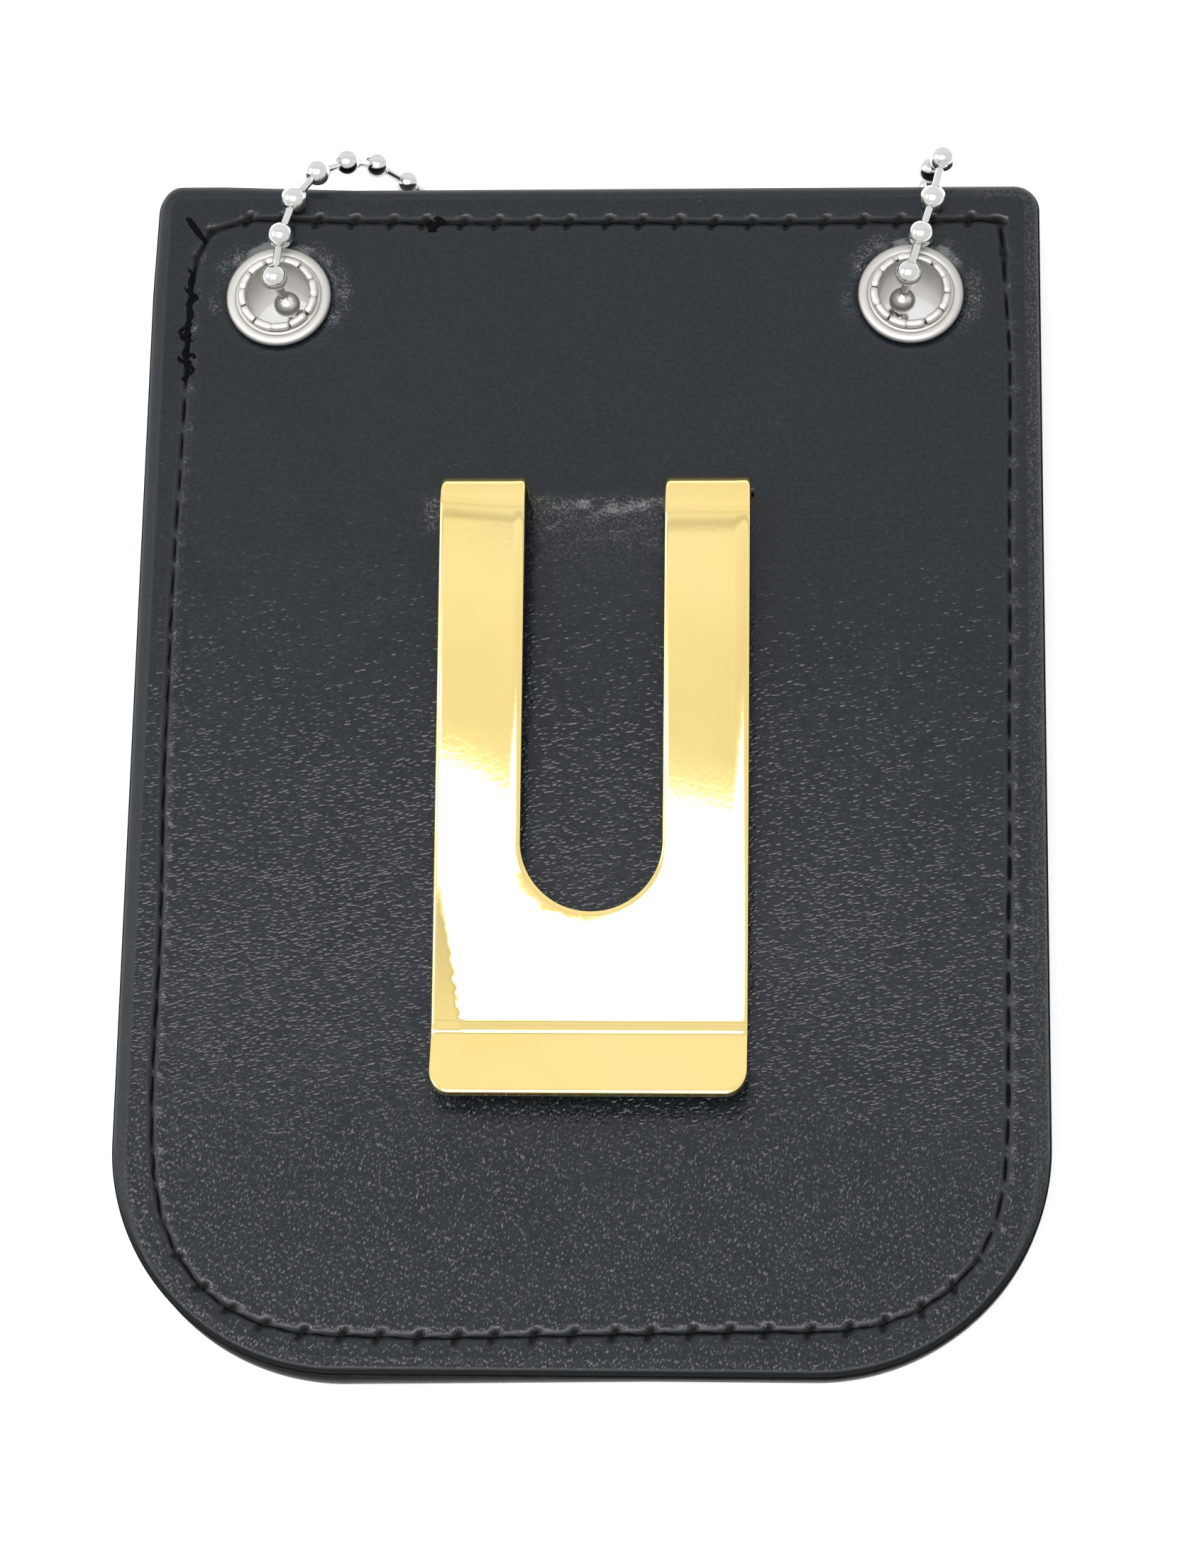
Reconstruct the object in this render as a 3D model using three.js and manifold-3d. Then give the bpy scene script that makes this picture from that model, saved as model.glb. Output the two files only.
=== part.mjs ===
// Leather badge holder, worn on a belt by its spring clip or round the neck on its ball chain.
// Millimetres. It lies face down: +Z points out of the back, where the clip is, +Y to the edge with
// the eyelets, and +X to the right as the back is seen.
// The origin is the middle of the seat face, inside the front recess, that the badge lies on.
import * as THREE from "three";
import { mergeVertices } from "three/addons/utils/BufferGeometryUtils.js";
import Module from "manifold-3d";

const wasm = await Module();
wasm.setup();

// Clearance between pieces that fit into each other
const fit = 0.3;

// Outline of the holder
const holderWidth = 80;
const holderHeight = 108;
const topCornerRadius = 3;
const bottomCornerRadius = 20;
const edgeRounding = 1.3;
const seamChamfer = 0.45;

// Leather and board layers
const recessDepth = 3;
const frontCoverThickness = 1.2;
const frontBoardThickness = 1.4;
const seatThickness = 1;
const seatRise = 0.6;
const liningThickness = 0.4;
const backBoardThickness = 1;
const backCoverThickness = 1;
const turnedEdgeThickness = 1;

// Recess in the front, which takes the badge
const recessWidth = 54;
const recessHeight = 72;
const recessTopRadius = 10;
const recessBottomRadius = 24;
const recessEdgeRounding = 0.8;

// Slots for the badge's pin, and the hollow behind them
const pinSlotWidth = 14;
const pinSlotHeight = 3;
const pinSlotSpacing = 40;
const pinHollowWidth = 18;
const pinHollowMargin = 3;

// Eyelets and their washers
const eyeletSpacing = 56.8;
const eyeletFromTop = 10.8;
const boreRadius = 2.8;
const barrelWall = 0.3;
const flangeRadius = 4.5;
const flangeThickness = 0.8;
const flangeSink = 0.5;
const flangeRounding = 0.4;
const rimRadius = 3.7;
const rimHeight = 0.6;
const petalCount = 12;
const petalCut = 0.16;
const washerRadius = 4.73;
const washerThickness = 0.5;
const washerRounding = 0.35;

// Spring clip, stamped from one sheet: its punched-out tongue is the anchor under the leather
const clipOffset = 0.8;
const clipWidth = 27;
const clipSheet = 0.8;
const clipTop = 24.6;
const clipHeight = 6.5;
const clipBendRadius = 3.5;
const clipSlope = 6.3;
const lipLine = -24.1;
const lipAngle = 18;
const lipLength = 6.6;
const lipBendRadius = 4;
const lipCornerRadius = 1.7;
const slotWidth = 12.2;
const slotEnd = -14.5;
const anchorBarHeight = 8;
const anchorTongueWidth = 11.8;
const anchorTongueEnd = -14;
const rootBendRadius = 1.2;
const slitWidth = 1.5;

// Ball chain
const beadDiameter = 2.4;
const linkDiameter = 0.9;
const chainGap = 0.3;
const layFlat = beadDiameter / 10;
const connectorDiameter = 3.4;
const connectorStart = 13;
const connectorLength = 8;
const connectorMouth = 1;
const connectorRounding = 0.6;

// Stowed coil: two arms wind out of an S in the middle, side by side
const coilCentreY = -6;
const coilInnerRadius = 10.4;
const coilSpacing = 3;
const coilPhase = 240;
const coilRightSweep = 510;
const coilLeftSweep = 600;
const coilStep = 15;
const tieAzimuth = 300;
const tieWidth = 3;
const tieThickness = 0.4;
const tieHumpWidth = 12;

// Heights of the layers, from the seat face at zero
const frontZ = -recessDepth;
const frontBoardZ = frontZ + frontCoverThickness;
const spacerZ = frontBoardZ + frontBoardThickness;
const flangeZ = seatRise;
const liningZ = flangeZ + seatThickness;
const backBoardZ = liningZ + liningThickness;
const backCoverZ = backBoardZ + backBoardThickness;
const backZ = backCoverZ + backCoverThickness;
const seamZ = liningZ;
const through = holderHeight;

// Places that several pieces share
const eyeletX = eyeletSpacing / 2;
const eyeletY = holderHeight / 2 - eyeletFromTop;
const barrelRadius = boreRadius + barrelWall;
const flangeFaceZ = frontZ + flangeSink - flangeThickness;
const chainZ = flangeFaceZ - chainGap - beadDiameter / 2;
const tableZ = chainZ - beadDiameter / 2 + layFlat;
const layerInset = turnedEdgeThickness + fit;
const clipFoot = backBoardZ + (backBoardThickness - clipSheet) / 2;
const hingeZ = backZ + clipHeight - clipBendRadius - fit;

const leather = { color: 0x3c4044, roughness: 0.55, metalness: 0 };
const suede = { color: 0x4a4238, roughness: 0.9, metalness: 0 };
const fibreboard = { color: 0x6f5a43, roughness: 0.95, metalness: 0 };
const gold = { color: 0xfae08c, roughness: 0.15, metalness: 1 };
const nickel = { color: 0xd8dadc, roughness: 0.2, metalness: 1 };
const tieBlack = { color: 0x1c1c1e, roughness: 0.6, metalness: 0 };

const group = new THREE.Group();

function radians(degrees) {
  return THREE.MathUtils.degToRad(degrees);
}

// A closed three.js geometry as a solid that can be cut and joined
function solid(geometry) {
  const bare = geometry.clone();
  bare.deleteAttribute("normal");
  bare.deleteAttribute("uv");
  const merged = mergeVertices(bare, 1e-5);
  return new wasm.Manifold(new wasm.Mesh({
    numProp: 3,
    vertProperties: new Float32Array(merged.attributes.position.array),
    triVerts: new Uint32Array(merged.index.array),
  }));
}

function addPiece(name, shape, finish) {
  const mesh = shape.getMesh();
  const geometry = new THREE.BufferGeometry();
  geometry.setAttribute("position", new THREE.BufferAttribute(mesh.vertProperties, 3));
  geometry.setIndex(new THREE.BufferAttribute(mesh.triVerts, 1));
  geometry.computeVertexNormals();
  const piece = new THREE.Mesh(geometry, new THREE.MeshStandardMaterial(finish));
  piece.name = name;
  group.add(piece);
}

// Counter-clockwise outline with two corner radii, drawn in by inset
function outline(size, inset = 0) {
  const points = [];
  const corners = [
    [1, 1, size.top, 4, 0],
    [-1, 1, size.top, 4, 90],
    [-1, -1, size.bottom, 9, 180],
    [1, -1, size.bottom, 9, 270],
  ];
  for (const [sideX, sideY, radius, steps, start] of corners) {
    const centreX = sideX * (size.width / 2 - radius);
    const centreY = sideY * (size.height / 2 - radius);
    for (let i = 0; i <= steps; i++) {
      const angle = radians(start + (90 * i) / steps);
      const reach = Math.max(radius - inset, 0.05);
      points.push(new THREE.Vector2(
        centreX + reach * Math.cos(angle),
        centreY + reach * Math.sin(angle),
      ));
    }
  }
  return points;
}

const holder = {
  width: holderWidth, height: holderHeight, top: topCornerRadius, bottom: bottomCornerRadius,
};
const recess = {
  width: recessWidth, height: recessHeight, top: recessTopRadius, bottom: recessBottomRadius,
};

// Solid between two heights over a flat outline
function slab(points, low, high) {
  const shape = new THREE.Shape(points);
  const geometry = new THREE.ExtrudeGeometry(shape, { depth: high - low, bevelEnabled: false });
  return solid(geometry.translate(0, 0, low));
}

// Solid through a stack of outlines, given as [height, inset] from the lowest up
function stack(size, levels) {
  const rings = levels.map(([, inset]) => outline(size, inset));
  const count = rings[0].length;
  const positions = rings.flatMap((ring, k) => ring.flatMap((p) => [p.x, p.y, levels[k][0]]));
  const index = [];
  for (let k = 0; k + 1 < rings.length; k++) {
    for (let i = 0; i < count; i++) {
      const a = k * count + i;
      const b = k * count + ((i + 1) % count);
      index.push(a, b, b + count, a, b + count, a + count);
    }
  }
  const top = (rings.length - 1) * count;
  for (const [a, b, c] of THREE.ShapeUtils.triangulateShape(rings[0], [])) index.push(a, c, b);
  for (const [a, b, c] of THREE.ShapeUtils.triangulateShape(rings.at(-1), [])) {
    index.push(top + a, top + b, top + c);
  }
  const geometry = new THREE.BufferGeometry();
  geometry.setAttribute("position", new THREE.BufferAttribute(new Float32Array(positions), 3));
  geometry.setIndex(index);
  return solid(geometry);
}

function box(x0, x1, y0, y1, z0, z1) {
  const geometry = new THREE.BoxGeometry(x1 - x0, y1 - y0, z1 - z0);
  return solid(geometry.translate((x0 + x1) / 2, (y0 + y1) / 2, (z0 + z1) / 2));
}

// Upright round bar, used to cut holes
function bar(x, y, radius, low, high, sides = 24) {
  const geometry = new THREE.CylinderGeometry(radius, radius, high - low, sides);
  return solid(geometry.rotateX(Math.PI / 2).translate(x, y, (low + high) / 2));
}

function eachEyelet(work) {
  for (const [name, side] of [["left", -1], ["right", 1]]) work(name, side * eyeletX);
}

function withEyeletHoles(shape) {
  let cut = shape;
  eachEyelet((name, x) => {
    cut = cut.subtract(bar(x, eyeletY, barrelRadius + fit, -through, through));
  });
  return cut;
}

// Quarter round from a wall into a face, as [height, inset] levels
function roundedEdge(faceZ, towards, radius) {
  return [0, 30, 60, 90].map((degrees) => [
    faceZ - towards * radius * (1 - Math.sin(radians(degrees))),
    radius * (1 - Math.cos(radians(degrees))),
  ]);
}

// Front leaf
function frontCover() {
  const rimZ = seamZ - fit / 2;
  const skin = stack(holder, [
    ...roundedEdge(frontZ, -1, edgeRounding).reverse(),
    [rimZ - 2 * seamChamfer, 0],
    [rimZ, seamChamfer],
  ]);
  const pocket = slab(outline(holder, turnedEdgeThickness), frontBoardZ, seamZ + 1)
    .subtract(slab(outline(recess, -turnedEdgeThickness), -through, flangeZ - fit));
  const opening = stack(recess, [
    ...roundedEdge(frontZ, -1, recessEdgeRounding).map(([z, inset]) => [z, -inset]).reverse(),
    [flangeZ + 1, 0],
  ]);
  let cover = skin.subtract(pocket).subtract(opening);
  eachEyelet((name, x) => {
    cover = cover.subtract(bar(x, eyeletY, flangeRadius + fit, frontZ - 1, frontZ + flangeSink));
  });
  addPiece("front_cover", withEyeletHoles(cover), leather);
}

// A frame round the leather collar that lines the recess
function recessFrame(name, low, high, finish) {
  const collar = outline(recess, -turnedEdgeThickness - fit);
  const frame = slab(outline(holder, layerInset), low, high).subtract(slab(collar, -through, through));
  addPiece(name, withEyeletHoles(frame), finish);
}

function pinHollow(low, high) {
  const half = (pinSlotSpacing + pinSlotHeight) / 2 + pinHollowMargin;
  return box(-pinHollowWidth / 2, pinHollowWidth / 2, -half, half, low, high);
}

// Leather seat, pressed up into the recess over its pad
function badgeSeat() {
  const base = slab(outline(holder, layerInset), flangeZ, liningZ);
  const raised = slab(outline(recess, fit), 0, flangeZ + seatThickness / 2);
  const hollow = slab(outline(recess, fit + seatThickness), seatThickness, liningZ + 1);
  let seat = base.add(raised).subtract(hollow);
  for (const side of [-1, 1]) {
    const y = (side * pinSlotSpacing) / 2;
    seat = seat.subtract(box(
      -pinSlotWidth / 2, pinSlotWidth / 2, y - pinSlotHeight / 2, y + pinSlotHeight / 2, -1, liningZ + 1,
    ));
  }
  addPiece("badge_seat", withEyeletHoles(seat), leather);
  const pad = slab(outline(recess, 2 * fit + seatThickness), seatThickness, liningZ);
  addPiece("seat_pad", pad.subtract(pinHollow(-through, through)), fibreboard);
}

// Back leaf
function backLining() {
  addPiece("back_lining", withEyeletHoles(slab(outline(holder, layerInset), liningZ, backBoardZ)), suede);
}

// The hidden half of the clip, seen from above, grown by clearance
function anchorPlan(grow) {
  const left = clipOffset - clipWidth / 2 - grow;
  const right = clipOffset + clipWidth / 2 + grow;
  const half = anchorTongueWidth / 2 + grow;
  const shape = new THREE.Shape();
  shape.moveTo(left, clipTop + grow);
  shape.lineTo(left, clipTop - anchorBarHeight - grow);
  shape.lineTo(clipOffset - half, clipTop - anchorBarHeight - grow);
  shape.lineTo(clipOffset - half, anchorTongueEnd + anchorTongueWidth / 2);
  shape.absarc(clipOffset, anchorTongueEnd + anchorTongueWidth / 2, half, Math.PI, 2 * Math.PI, false);
  shape.lineTo(clipOffset + half, clipTop - anchorBarHeight - grow);
  shape.lineTo(right, clipTop - anchorBarHeight - grow);
  shape.lineTo(right, clipTop + grow);
  return shape.extractPoints(6).shape;
}

function backBoard() {
  const board = slab(outline(holder, layerInset), backBoardZ, backCoverZ);
  const cutOut = slab(anchorPlan(fit), -through, through);
  addPiece("back_board", withEyeletHoles(board.subtract(cutOut)), fibreboard);
}

function backCover() {
  const rimZ = seamZ + fit / 2;
  const skin = stack(holder, [
    [rimZ, seamChamfer],
    [rimZ + 2 * seamChamfer, 0],
    ...roundedEdge(backZ, 1, edgeRounding),
  ]);
  const pocket = slab(outline(holder, turnedEdgeThickness), seamZ - 1, backCoverZ);
  const slitY = clipTop - clipSheet / 2;
  const slitHalf = clipWidth / 2 + fit;
  const slit = box(
    clipOffset - slitHalf, clipOffset + slitHalf, slitY - slitWidth / 2, slitY + slitWidth / 2,
    seamZ, backZ + 1,
  );
  addPiece("back_cover", withEyeletHoles(skin.subtract(pocket).subtract(slit)), leather);
}

function arcPoints(centre, radius, from, to, steps) {
  return Array.from({ length: steps + 1 }, (_, i) => {
    const angle = radians(from + ((to - from) * i) / steps);
    return new THREE.Vector2(centre.x + radius * Math.cos(angle), centre.y + radius * Math.sin(angle));
  });
}

// Solid turned round the upright axis, from a closed profile of radius and height
function turnedUpright(profile, sides) {
  return solid(new THREE.LatheGeometry([...profile, profile[0]], sides).rotateX(Math.PI / 2));
}

// Eyelet: flange at the front, barrel, and a rim at the back that is split into petals and rolled over
function eyeletSolid(rimZ) {
  const roundingZ = flangeFaceZ + flangeRounding;
  const mouth = new THREE.Vector2(boreRadius + flangeRounding, roundingZ);
  const edge = new THREE.Vector2(flangeRadius - flangeRounding, roundingZ);
  const rimHalf = (rimRadius - boreRadius) / 2;
  const rolled = arcPoints(new THREE.Vector2(0, 0), 1, 0, 180, 5).map((p) => new THREE.Vector2(
    boreRadius + rimHalf * (1 + p.x), rimZ + rimHeight * p.y,
  ));
  const blank = turnedUpright([
    ...arcPoints(mouth, flangeRounding, 180, 270, 2),
    ...arcPoints(edge, flangeRounding, 270, 360, 2),
    new THREE.Vector2(flangeRadius, frontZ + flangeSink),
    new THREE.Vector2(barrelRadius, frontZ + flangeSink),
    new THREE.Vector2(barrelRadius, rimZ),
    ...rolled,
  ], 24);
  let split = blank;
  for (let i = 0; i < petalCount; i++) {
    const wedge = new THREE.BoxGeometry(rimRadius, petalCut, 2 * rimHeight);
    wedge.translate(boreRadius / 2 + rimRadius / 2, 0, rimZ + rimHeight);
    wedge.rotateZ((2 * Math.PI * (i + 0.5)) / petalCount);
    split = split.subtract(solid(wedge));
  }
  return split;
}

function washerSolid(washerTop) {
  const hole = barrelRadius + fit;
  const edge = new THREE.Vector2(washerRadius - washerRounding, washerTop - washerRounding);
  return turnedUpright([
    new THREE.Vector2(hole, backZ),
    new THREE.Vector2(washerRadius, backZ),
    ...arcPoints(edge, washerRounding, 0, 90, 2),
    new THREE.Vector2(hole, washerTop),
  ], 32);
}

function eyelets() {
  const washerTop = backZ + washerThickness;
  const eyelet = eyeletSolid(washerTop + fit);
  const washer = washerSolid(washerTop);
  eachEyelet((name, x) => {
    addPiece(`eyelet_${name}`, eyelet.translate([x, eyeletY, 0]), nickel);
    addPiece(`washer_${name}`, washer.translate([x, eyeletY, 0]), nickel);
  });
}

// Cross-section of a bent sheet whose middle runs through points, across its width
function bentSheet(points, thickness, width) {
  const sides = [[], []];
  points.forEach((p, i) => {
    const before = points[Math.max(i - 1, 0)];
    const after = points[Math.min(i + 1, points.length - 1)];
    const along = after.clone().sub(before).normalize();
    const out = new THREE.Vector2(-along.y, along.x).multiplyScalar(thickness / 2);
    sides[0].push(p.clone().add(out));
    sides[1].unshift(p.clone().sub(out));
  });
  const section = new THREE.Shape([...sides[0], ...sides[1]]);
  const geometry = new THREE.ExtrudeGeometry(section, { depth: width, bevelEnabled: false });
  // The section is drawn in Y and Z, so it is turned from the XY plane onto YZ
  geometry.applyMatrix4(new THREE.Matrix4().makeBasis(
    new THREE.Vector3(0, 1, 0), new THREE.Vector3(0, 0, 1), new THREE.Vector3(1, 0, 0),
  ));
  return solid(geometry.translate(clipOffset - width / 2, 0, 0));
}

// The space between the clip's legs, grown by clearance
function legGap(low, high) {
  const half = slotWidth / 2;
  const shape = new THREE.Shape();
  shape.moveTo(clipOffset + half, clipTop + 1);
  shape.lineTo(clipOffset - half, clipTop + 1);
  shape.lineTo(clipOffset - half, slotEnd + half);
  shape.absarc(clipOffset, slotEnd + half, half, Math.PI, 2 * Math.PI, false);
  return slab(shape.extractPoints(12).shape, low, high);
}

function clipAnchor() {
  const middleY = clipTop - clipSheet / 2;
  const middleZ = clipFoot + clipSheet / 2;
  const radius = rootBendRadius - clipSheet / 2;
  const corner = new THREE.Vector2(middleY - radius, middleZ + radius);
  const sheet = bentSheet([
    new THREE.Vector2(anchorTongueEnd, middleZ),
    ...arcPoints(corner, radius, -90, 0, 4),
    new THREE.Vector2(middleY, hingeZ - fit / 2),
  ], clipSheet, clipWidth);
  const plan = slab(anchorPlan(0), -through, through);
  const legs = legGap(clipFoot + clipSheet, through);
  addPiece("clip_anchor", sheet.intersect(plan).subtract(legs), gold);
}

function clipTongue() {
  const radius = clipBendRadius - clipSheet / 2;
  const bend = new THREE.Vector2(clipTop - clipBendRadius, backZ + clipHeight - clipBendRadius);
  const top = arcPoints(bend, radius, 0, 90 + clipSlope, 9);
  const start = top.at(-1);
  const run = (start.x - lipLine) / Math.cos(radians(clipSlope));
  const line = start.clone().add(new THREE.Vector2(
    -run * Math.cos(radians(clipSlope)), -run * Math.sin(radians(clipSlope)),
  ));
  const lipCentre = line.clone().add(new THREE.Vector2(
    -lipBendRadius * Math.sin(radians(clipSlope)), lipBendRadius * Math.cos(radians(clipSlope)),
  ));
  const lip = arcPoints(lipCentre, lipBendRadius, 270 + clipSlope, 270 - lipAngle, 4);
  const tip = lip.at(-1).clone().add(new THREE.Vector2(
    -lipLength * Math.cos(radians(lipAngle)), lipLength * Math.sin(radians(lipAngle)),
  ));
  const sheet = bentSheet([
    new THREE.Vector2(clipTop - clipSheet / 2, hingeZ + fit / 2), ...top, ...lip, tip,
  ], clipSheet, clipWidth);
  const left = clipOffset - clipWidth / 2;
  const right = clipOffset + clipWidth / 2;
  const r = lipCornerRadius;
  const cornerY = tip.x - clipSheet / 2 + r;
  const shape = new THREE.Shape();
  shape.moveTo(right, clipTop + 1);
  shape.lineTo(left, clipTop + 1);
  shape.lineTo(left, cornerY);
  shape.absarc(left + r, cornerY, r, Math.PI, 1.5 * Math.PI, false);
  shape.absarc(right - r, cornerY, r, 1.5 * Math.PI, 2 * Math.PI, false);
  const plan = slab(shape.extractPoints(4).shape, -through, through);
  addPiece("clip_tongue", sheet.intersect(plan).subtract(legGap(-through, through)), gold);
}

// Ball chain. It is one closed loop: up through the right eyelet, over the top edge, under the holder
// into the coil, back over the top edge, down through the left eyelet and across the front.
const rightBeads = [
  [27.7, 43.6, 1.5], [28.2, 44.5, 5.7], [29.3, 48.1, 6.1], [30.4, 51.9, 5.3],
  [31.3, 55.9, 5], [30.3, 56.6, 1.1], [30.2, 56.5, -2.8],
];
const rightRun = [
  [31.2, 53.3, chainZ], [32.9, 49.8, chainZ], [35.1, 46.4, chainZ], [36.4, 42.6, chainZ],
  [36.6, 38.4, chainZ], [36.6, 32, chainZ], [36.2, 25, chainZ], [34.2, 18.8, chainZ],
  [30.2, 14.8, chainZ],
];
const leftRun = [
  [-21, 1.4, chainZ], [-23.6, 9, chainZ], [-28.4, 17, chainZ], [-33, 24.6, chainZ],
  [-35.9, 32.4, chainZ], [-36.6, 38.6, chainZ], [-35.6, 43.4, chainZ], [-31.9, 46.6, chainZ],
  [-26.6, 47.4, chainZ], [-20.6, 47, chainZ], [-15.4, 47, chainZ], [-12.2, 49.2, chainZ],
  [-11.8, 53.0, chainZ], [-14.4, 56.0, chainZ],
];
const leftBeads = [
  [-17.8, 57.5, -3.2], [-20.4, 58.1, -0.5], [-22.8, 57.1, 2.5], [-25.2, 55, 4.9],
  [-27.2, 52.2, 5.3], [-28.2, 48.3, 6.1], [-28.65, 44.4, 5.7], [-27.95, 43.5, 1.55],
];
// The stretch across the front: its bead under each eyelet, and the evenly spaced beads between them
const frontTurn = [27.3, 43.4, -2.35];
const frontReach = 24.1;
const frontCount = 12;

function vectors(list) {
  return list.map(([x, y, z]) => new THREE.Vector3(x, y, z));
}

// Height of the chain where the tie passes under it
function humpHeight(azimuth) {
  const away = ((((azimuth - tieAzimuth) % 360) + 540) % 360) - 180;
  const rise = tableZ + tieThickness + chainGap + beadDiameter / 2 - chainZ;
  return rise * Math.exp(-((away / tieHumpWidth) ** 2));
}

function coilPoint(radius, azimuth) {
  return new THREE.Vector3(
    radius * Math.cos(radians(azimuth)),
    coilCentreY + radius * Math.sin(radians(azimuth)),
    chainZ + humpHeight(azimuth),
  );
}

// One arm, from the inner radius outwards
function coilArm(start, sweep) {
  const points = [];
  for (let turned = 0; turned <= sweep; turned += coilStep) {
    points.push(coilPoint(coilInnerRadius + (2 * coilSpacing * turned) / 360, start - turned));
  }
  return points;
}

// The S through the middle, from the foot of the left arm to the foot of the right arm
function coilMiddle() {
  const points = [];
  for (const [side, from, to] of [[180, 0, 180], [0, 180, 0]]) {
    const bow = coilInnerRadius / 2;
    const centre = coilPoint(bow, coilPhase + side).setZ(chainZ);
    for (let i = 1; i < 6; i++) {
      const angle = radians(coilPhase + side + from + ((to - from) * i) / 6);
      points.push(new THREE.Vector3(
        centre.x + bow * Math.cos(angle), centre.y + bow * Math.sin(angle), chainZ,
      ));
    }
    if (side === 180) points.push(new THREE.Vector3(0, coilCentreY, chainZ));
  }
  return points;
}

const rightArm = coilArm(coilPhase, coilRightSweep);
const leftArm = coilArm(coilPhase + 180, coilLeftSweep);
const coilRoute = [...rightArm.slice().reverse(), ...coilMiddle().reverse(), ...leftArm];
const coilTop = rightArm.at(-1);
const connectorZ = tableZ + connectorDiameter / 2;
const connectorEnd = connectorStart + connectorLength;
const beforeConnector = new THREE.Vector3(25.6, coilTop.y + 0.5, chainZ);

// Closed tube round a run of points, with its underside laid flat on the table
function tube(points, sides = 6) {
  const up = new THREE.Vector3(0, 0, 1);
  const positions = [];
  const index = [];
  let across = new THREE.Vector3(1, 0, 0);
  points.forEach((p, i) => {
    const before = points[Math.max(i - 1, 0)];
    const after = points[Math.min(i + 1, points.length - 1)];
    const along = after.clone().sub(before).normalize();
    const level = up.clone().cross(along);
    if (level.length() > 0.2) across = level.normalize();
    const rise = along.clone().cross(across).normalize();
    for (let k = 0; k < sides; k++) {
      const angle = (2 * Math.PI * k) / sides;
      const v = p.clone()
        .addScaledVector(across, (Math.cos(angle) * beadDiameter) / 2)
        .addScaledVector(rise, (Math.sin(angle) * beadDiameter) / 2);
      positions.push(v.x, v.y, Math.max(v.z, tableZ));
    }
  });
  for (let i = 0; i + 1 < points.length; i++) {
    for (let k = 0; k < sides; k++) {
      const a = i * sides + k;
      const b = i * sides + ((k + 1) % sides);
      index.push(a, b, b + sides, a, b + sides, a + sides);
    }
  }
  const last = (points.length - 1) * sides;
  for (let k = 1; k + 1 < sides; k++) {
    index.push(0, k + 1, k, last, last + k, last + k + 1);
  }
  const geometry = new THREE.BufferGeometry();
  geometry.setAttribute("position", new THREE.BufferAttribute(new Float32Array(positions), 3));
  geometry.setIndex(index);
  return solid(geometry);
}

function ball(p) {
  return solid(new THREE.IcosahedronGeometry(beadDiameter / 2, 1)).translate([p.x, p.y, p.z]);
}

function link(from, to) {
  const along = to.clone().sub(from);
  const wire = new THREE.CylinderGeometry(linkDiameter / 2, linkDiameter / 2, along.length(), 6);
  wire.applyQuaternion(new THREE.Quaternion().setFromUnitVectors(
    new THREE.Vector3(0, 1, 0), along.clone().normalize(),
  ));
  const middle = from.clone().add(to).multiplyScalar(0.5);
  return solid(wire.translate(middle.x, middle.y, middle.z));
}

// A bead at each point, with a straight link between each two
function beads(points) {
  let chain = ball(points[0]);
  for (let i = 1; i < points.length; i++) {
    chain = chain.add(ball(points[i])).add(link(points[i - 1], points[i]));
  }
  return chain;
}

// Bead centres of the stretch across the front, from the left eyelet to the right
function frontPoints() {
  const [x, y, z] = frontTurn;
  const points = [new THREE.Vector3(-x, y, z)];
  for (let i = 0; i <= frontCount; i++) {
    points.push(new THREE.Vector3(-frontReach + (2 * frontReach * i) / frontCount, y, chainZ));
  }
  return [...points, new THREE.Vector3(x, y, z)];
}

function smooth(points, step) {
  const curve = new THREE.CatmullRomCurve3(points, false, "centripetal");
  return curve.getSpacedPoints(Math.ceil(curve.getLength() / step));
}

// Cut square across a run at its end, so that two stretches meet face to face
function trimmed(points, atStart, atEnd) {
  const curve = new THREE.CatmullRomCurve3(points, false, "centripetal");
  const length = curve.getLength();
  const from = atStart / length;
  const to = 1 - atEnd / length;
  const steps = Math.ceil((length * (to - from)) / (1.6 * beadDiameter));
  return Array.from({ length: steps + 1 }, (_, i) => curve.getPointAt(from + ((to - from) * i) / steps));
}

function chain() {
  const joinRight = vectors(rightRun)[0];
  const toConnector = [
    ...vectors(rightRun),
    beforeConnector,
    new THREE.Vector3(connectorEnd, coilTop.y, connectorZ),
  ];
  const rightTube = tube(trimmed(toConnector, 0, chainGap));
  addPiece("chain_right", beads([...vectors(rightBeads), joinRight]).add(rightTube), nickel);

  const fromConnector = [
    new THREE.Vector3(connectorStart, coilTop.y, connectorZ),
    new THREE.Vector3(connectorStart / 2, coilTop.y + 0.1, chainZ),
  ];
  const coil = [...fromConnector, ...coilRoute];
  coil[0] = coil[0].clone().add(new THREE.Vector3(-chainGap, 0, 0));
  addPiece("chain_coil", tube(coil), nickel);

  const coilEnd = leftArm.at(-1);
  const leftPoints = [coilEnd, ...vectors(leftRun)];
  const leftTube = tube(trimmed(leftPoints, chainGap, 0));
  addPiece("chain_left", leftTube.add(beads([vectors(leftRun).at(-1), ...vectors(leftBeads)])), nickel);

  const front = frontPoints();
  const shortLink = (end, next) => {
    const stop = end.clone().add(next.clone().sub(end).setLength(beadDiameter / 2 + chainGap));
    return link(stop, next);
  };
  addPiece("chain_front", beads(front)
    .add(shortLink(vectors(leftBeads).at(-1), front[0]))
    .add(shortLink(vectors(rightBeads)[0], front.at(-1))), nickel);
  report(coil, front);
}

function lengthOf(points) {
  return new THREE.CatmullRomCurve3(points, false, "centripetal").getLength();
}

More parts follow.
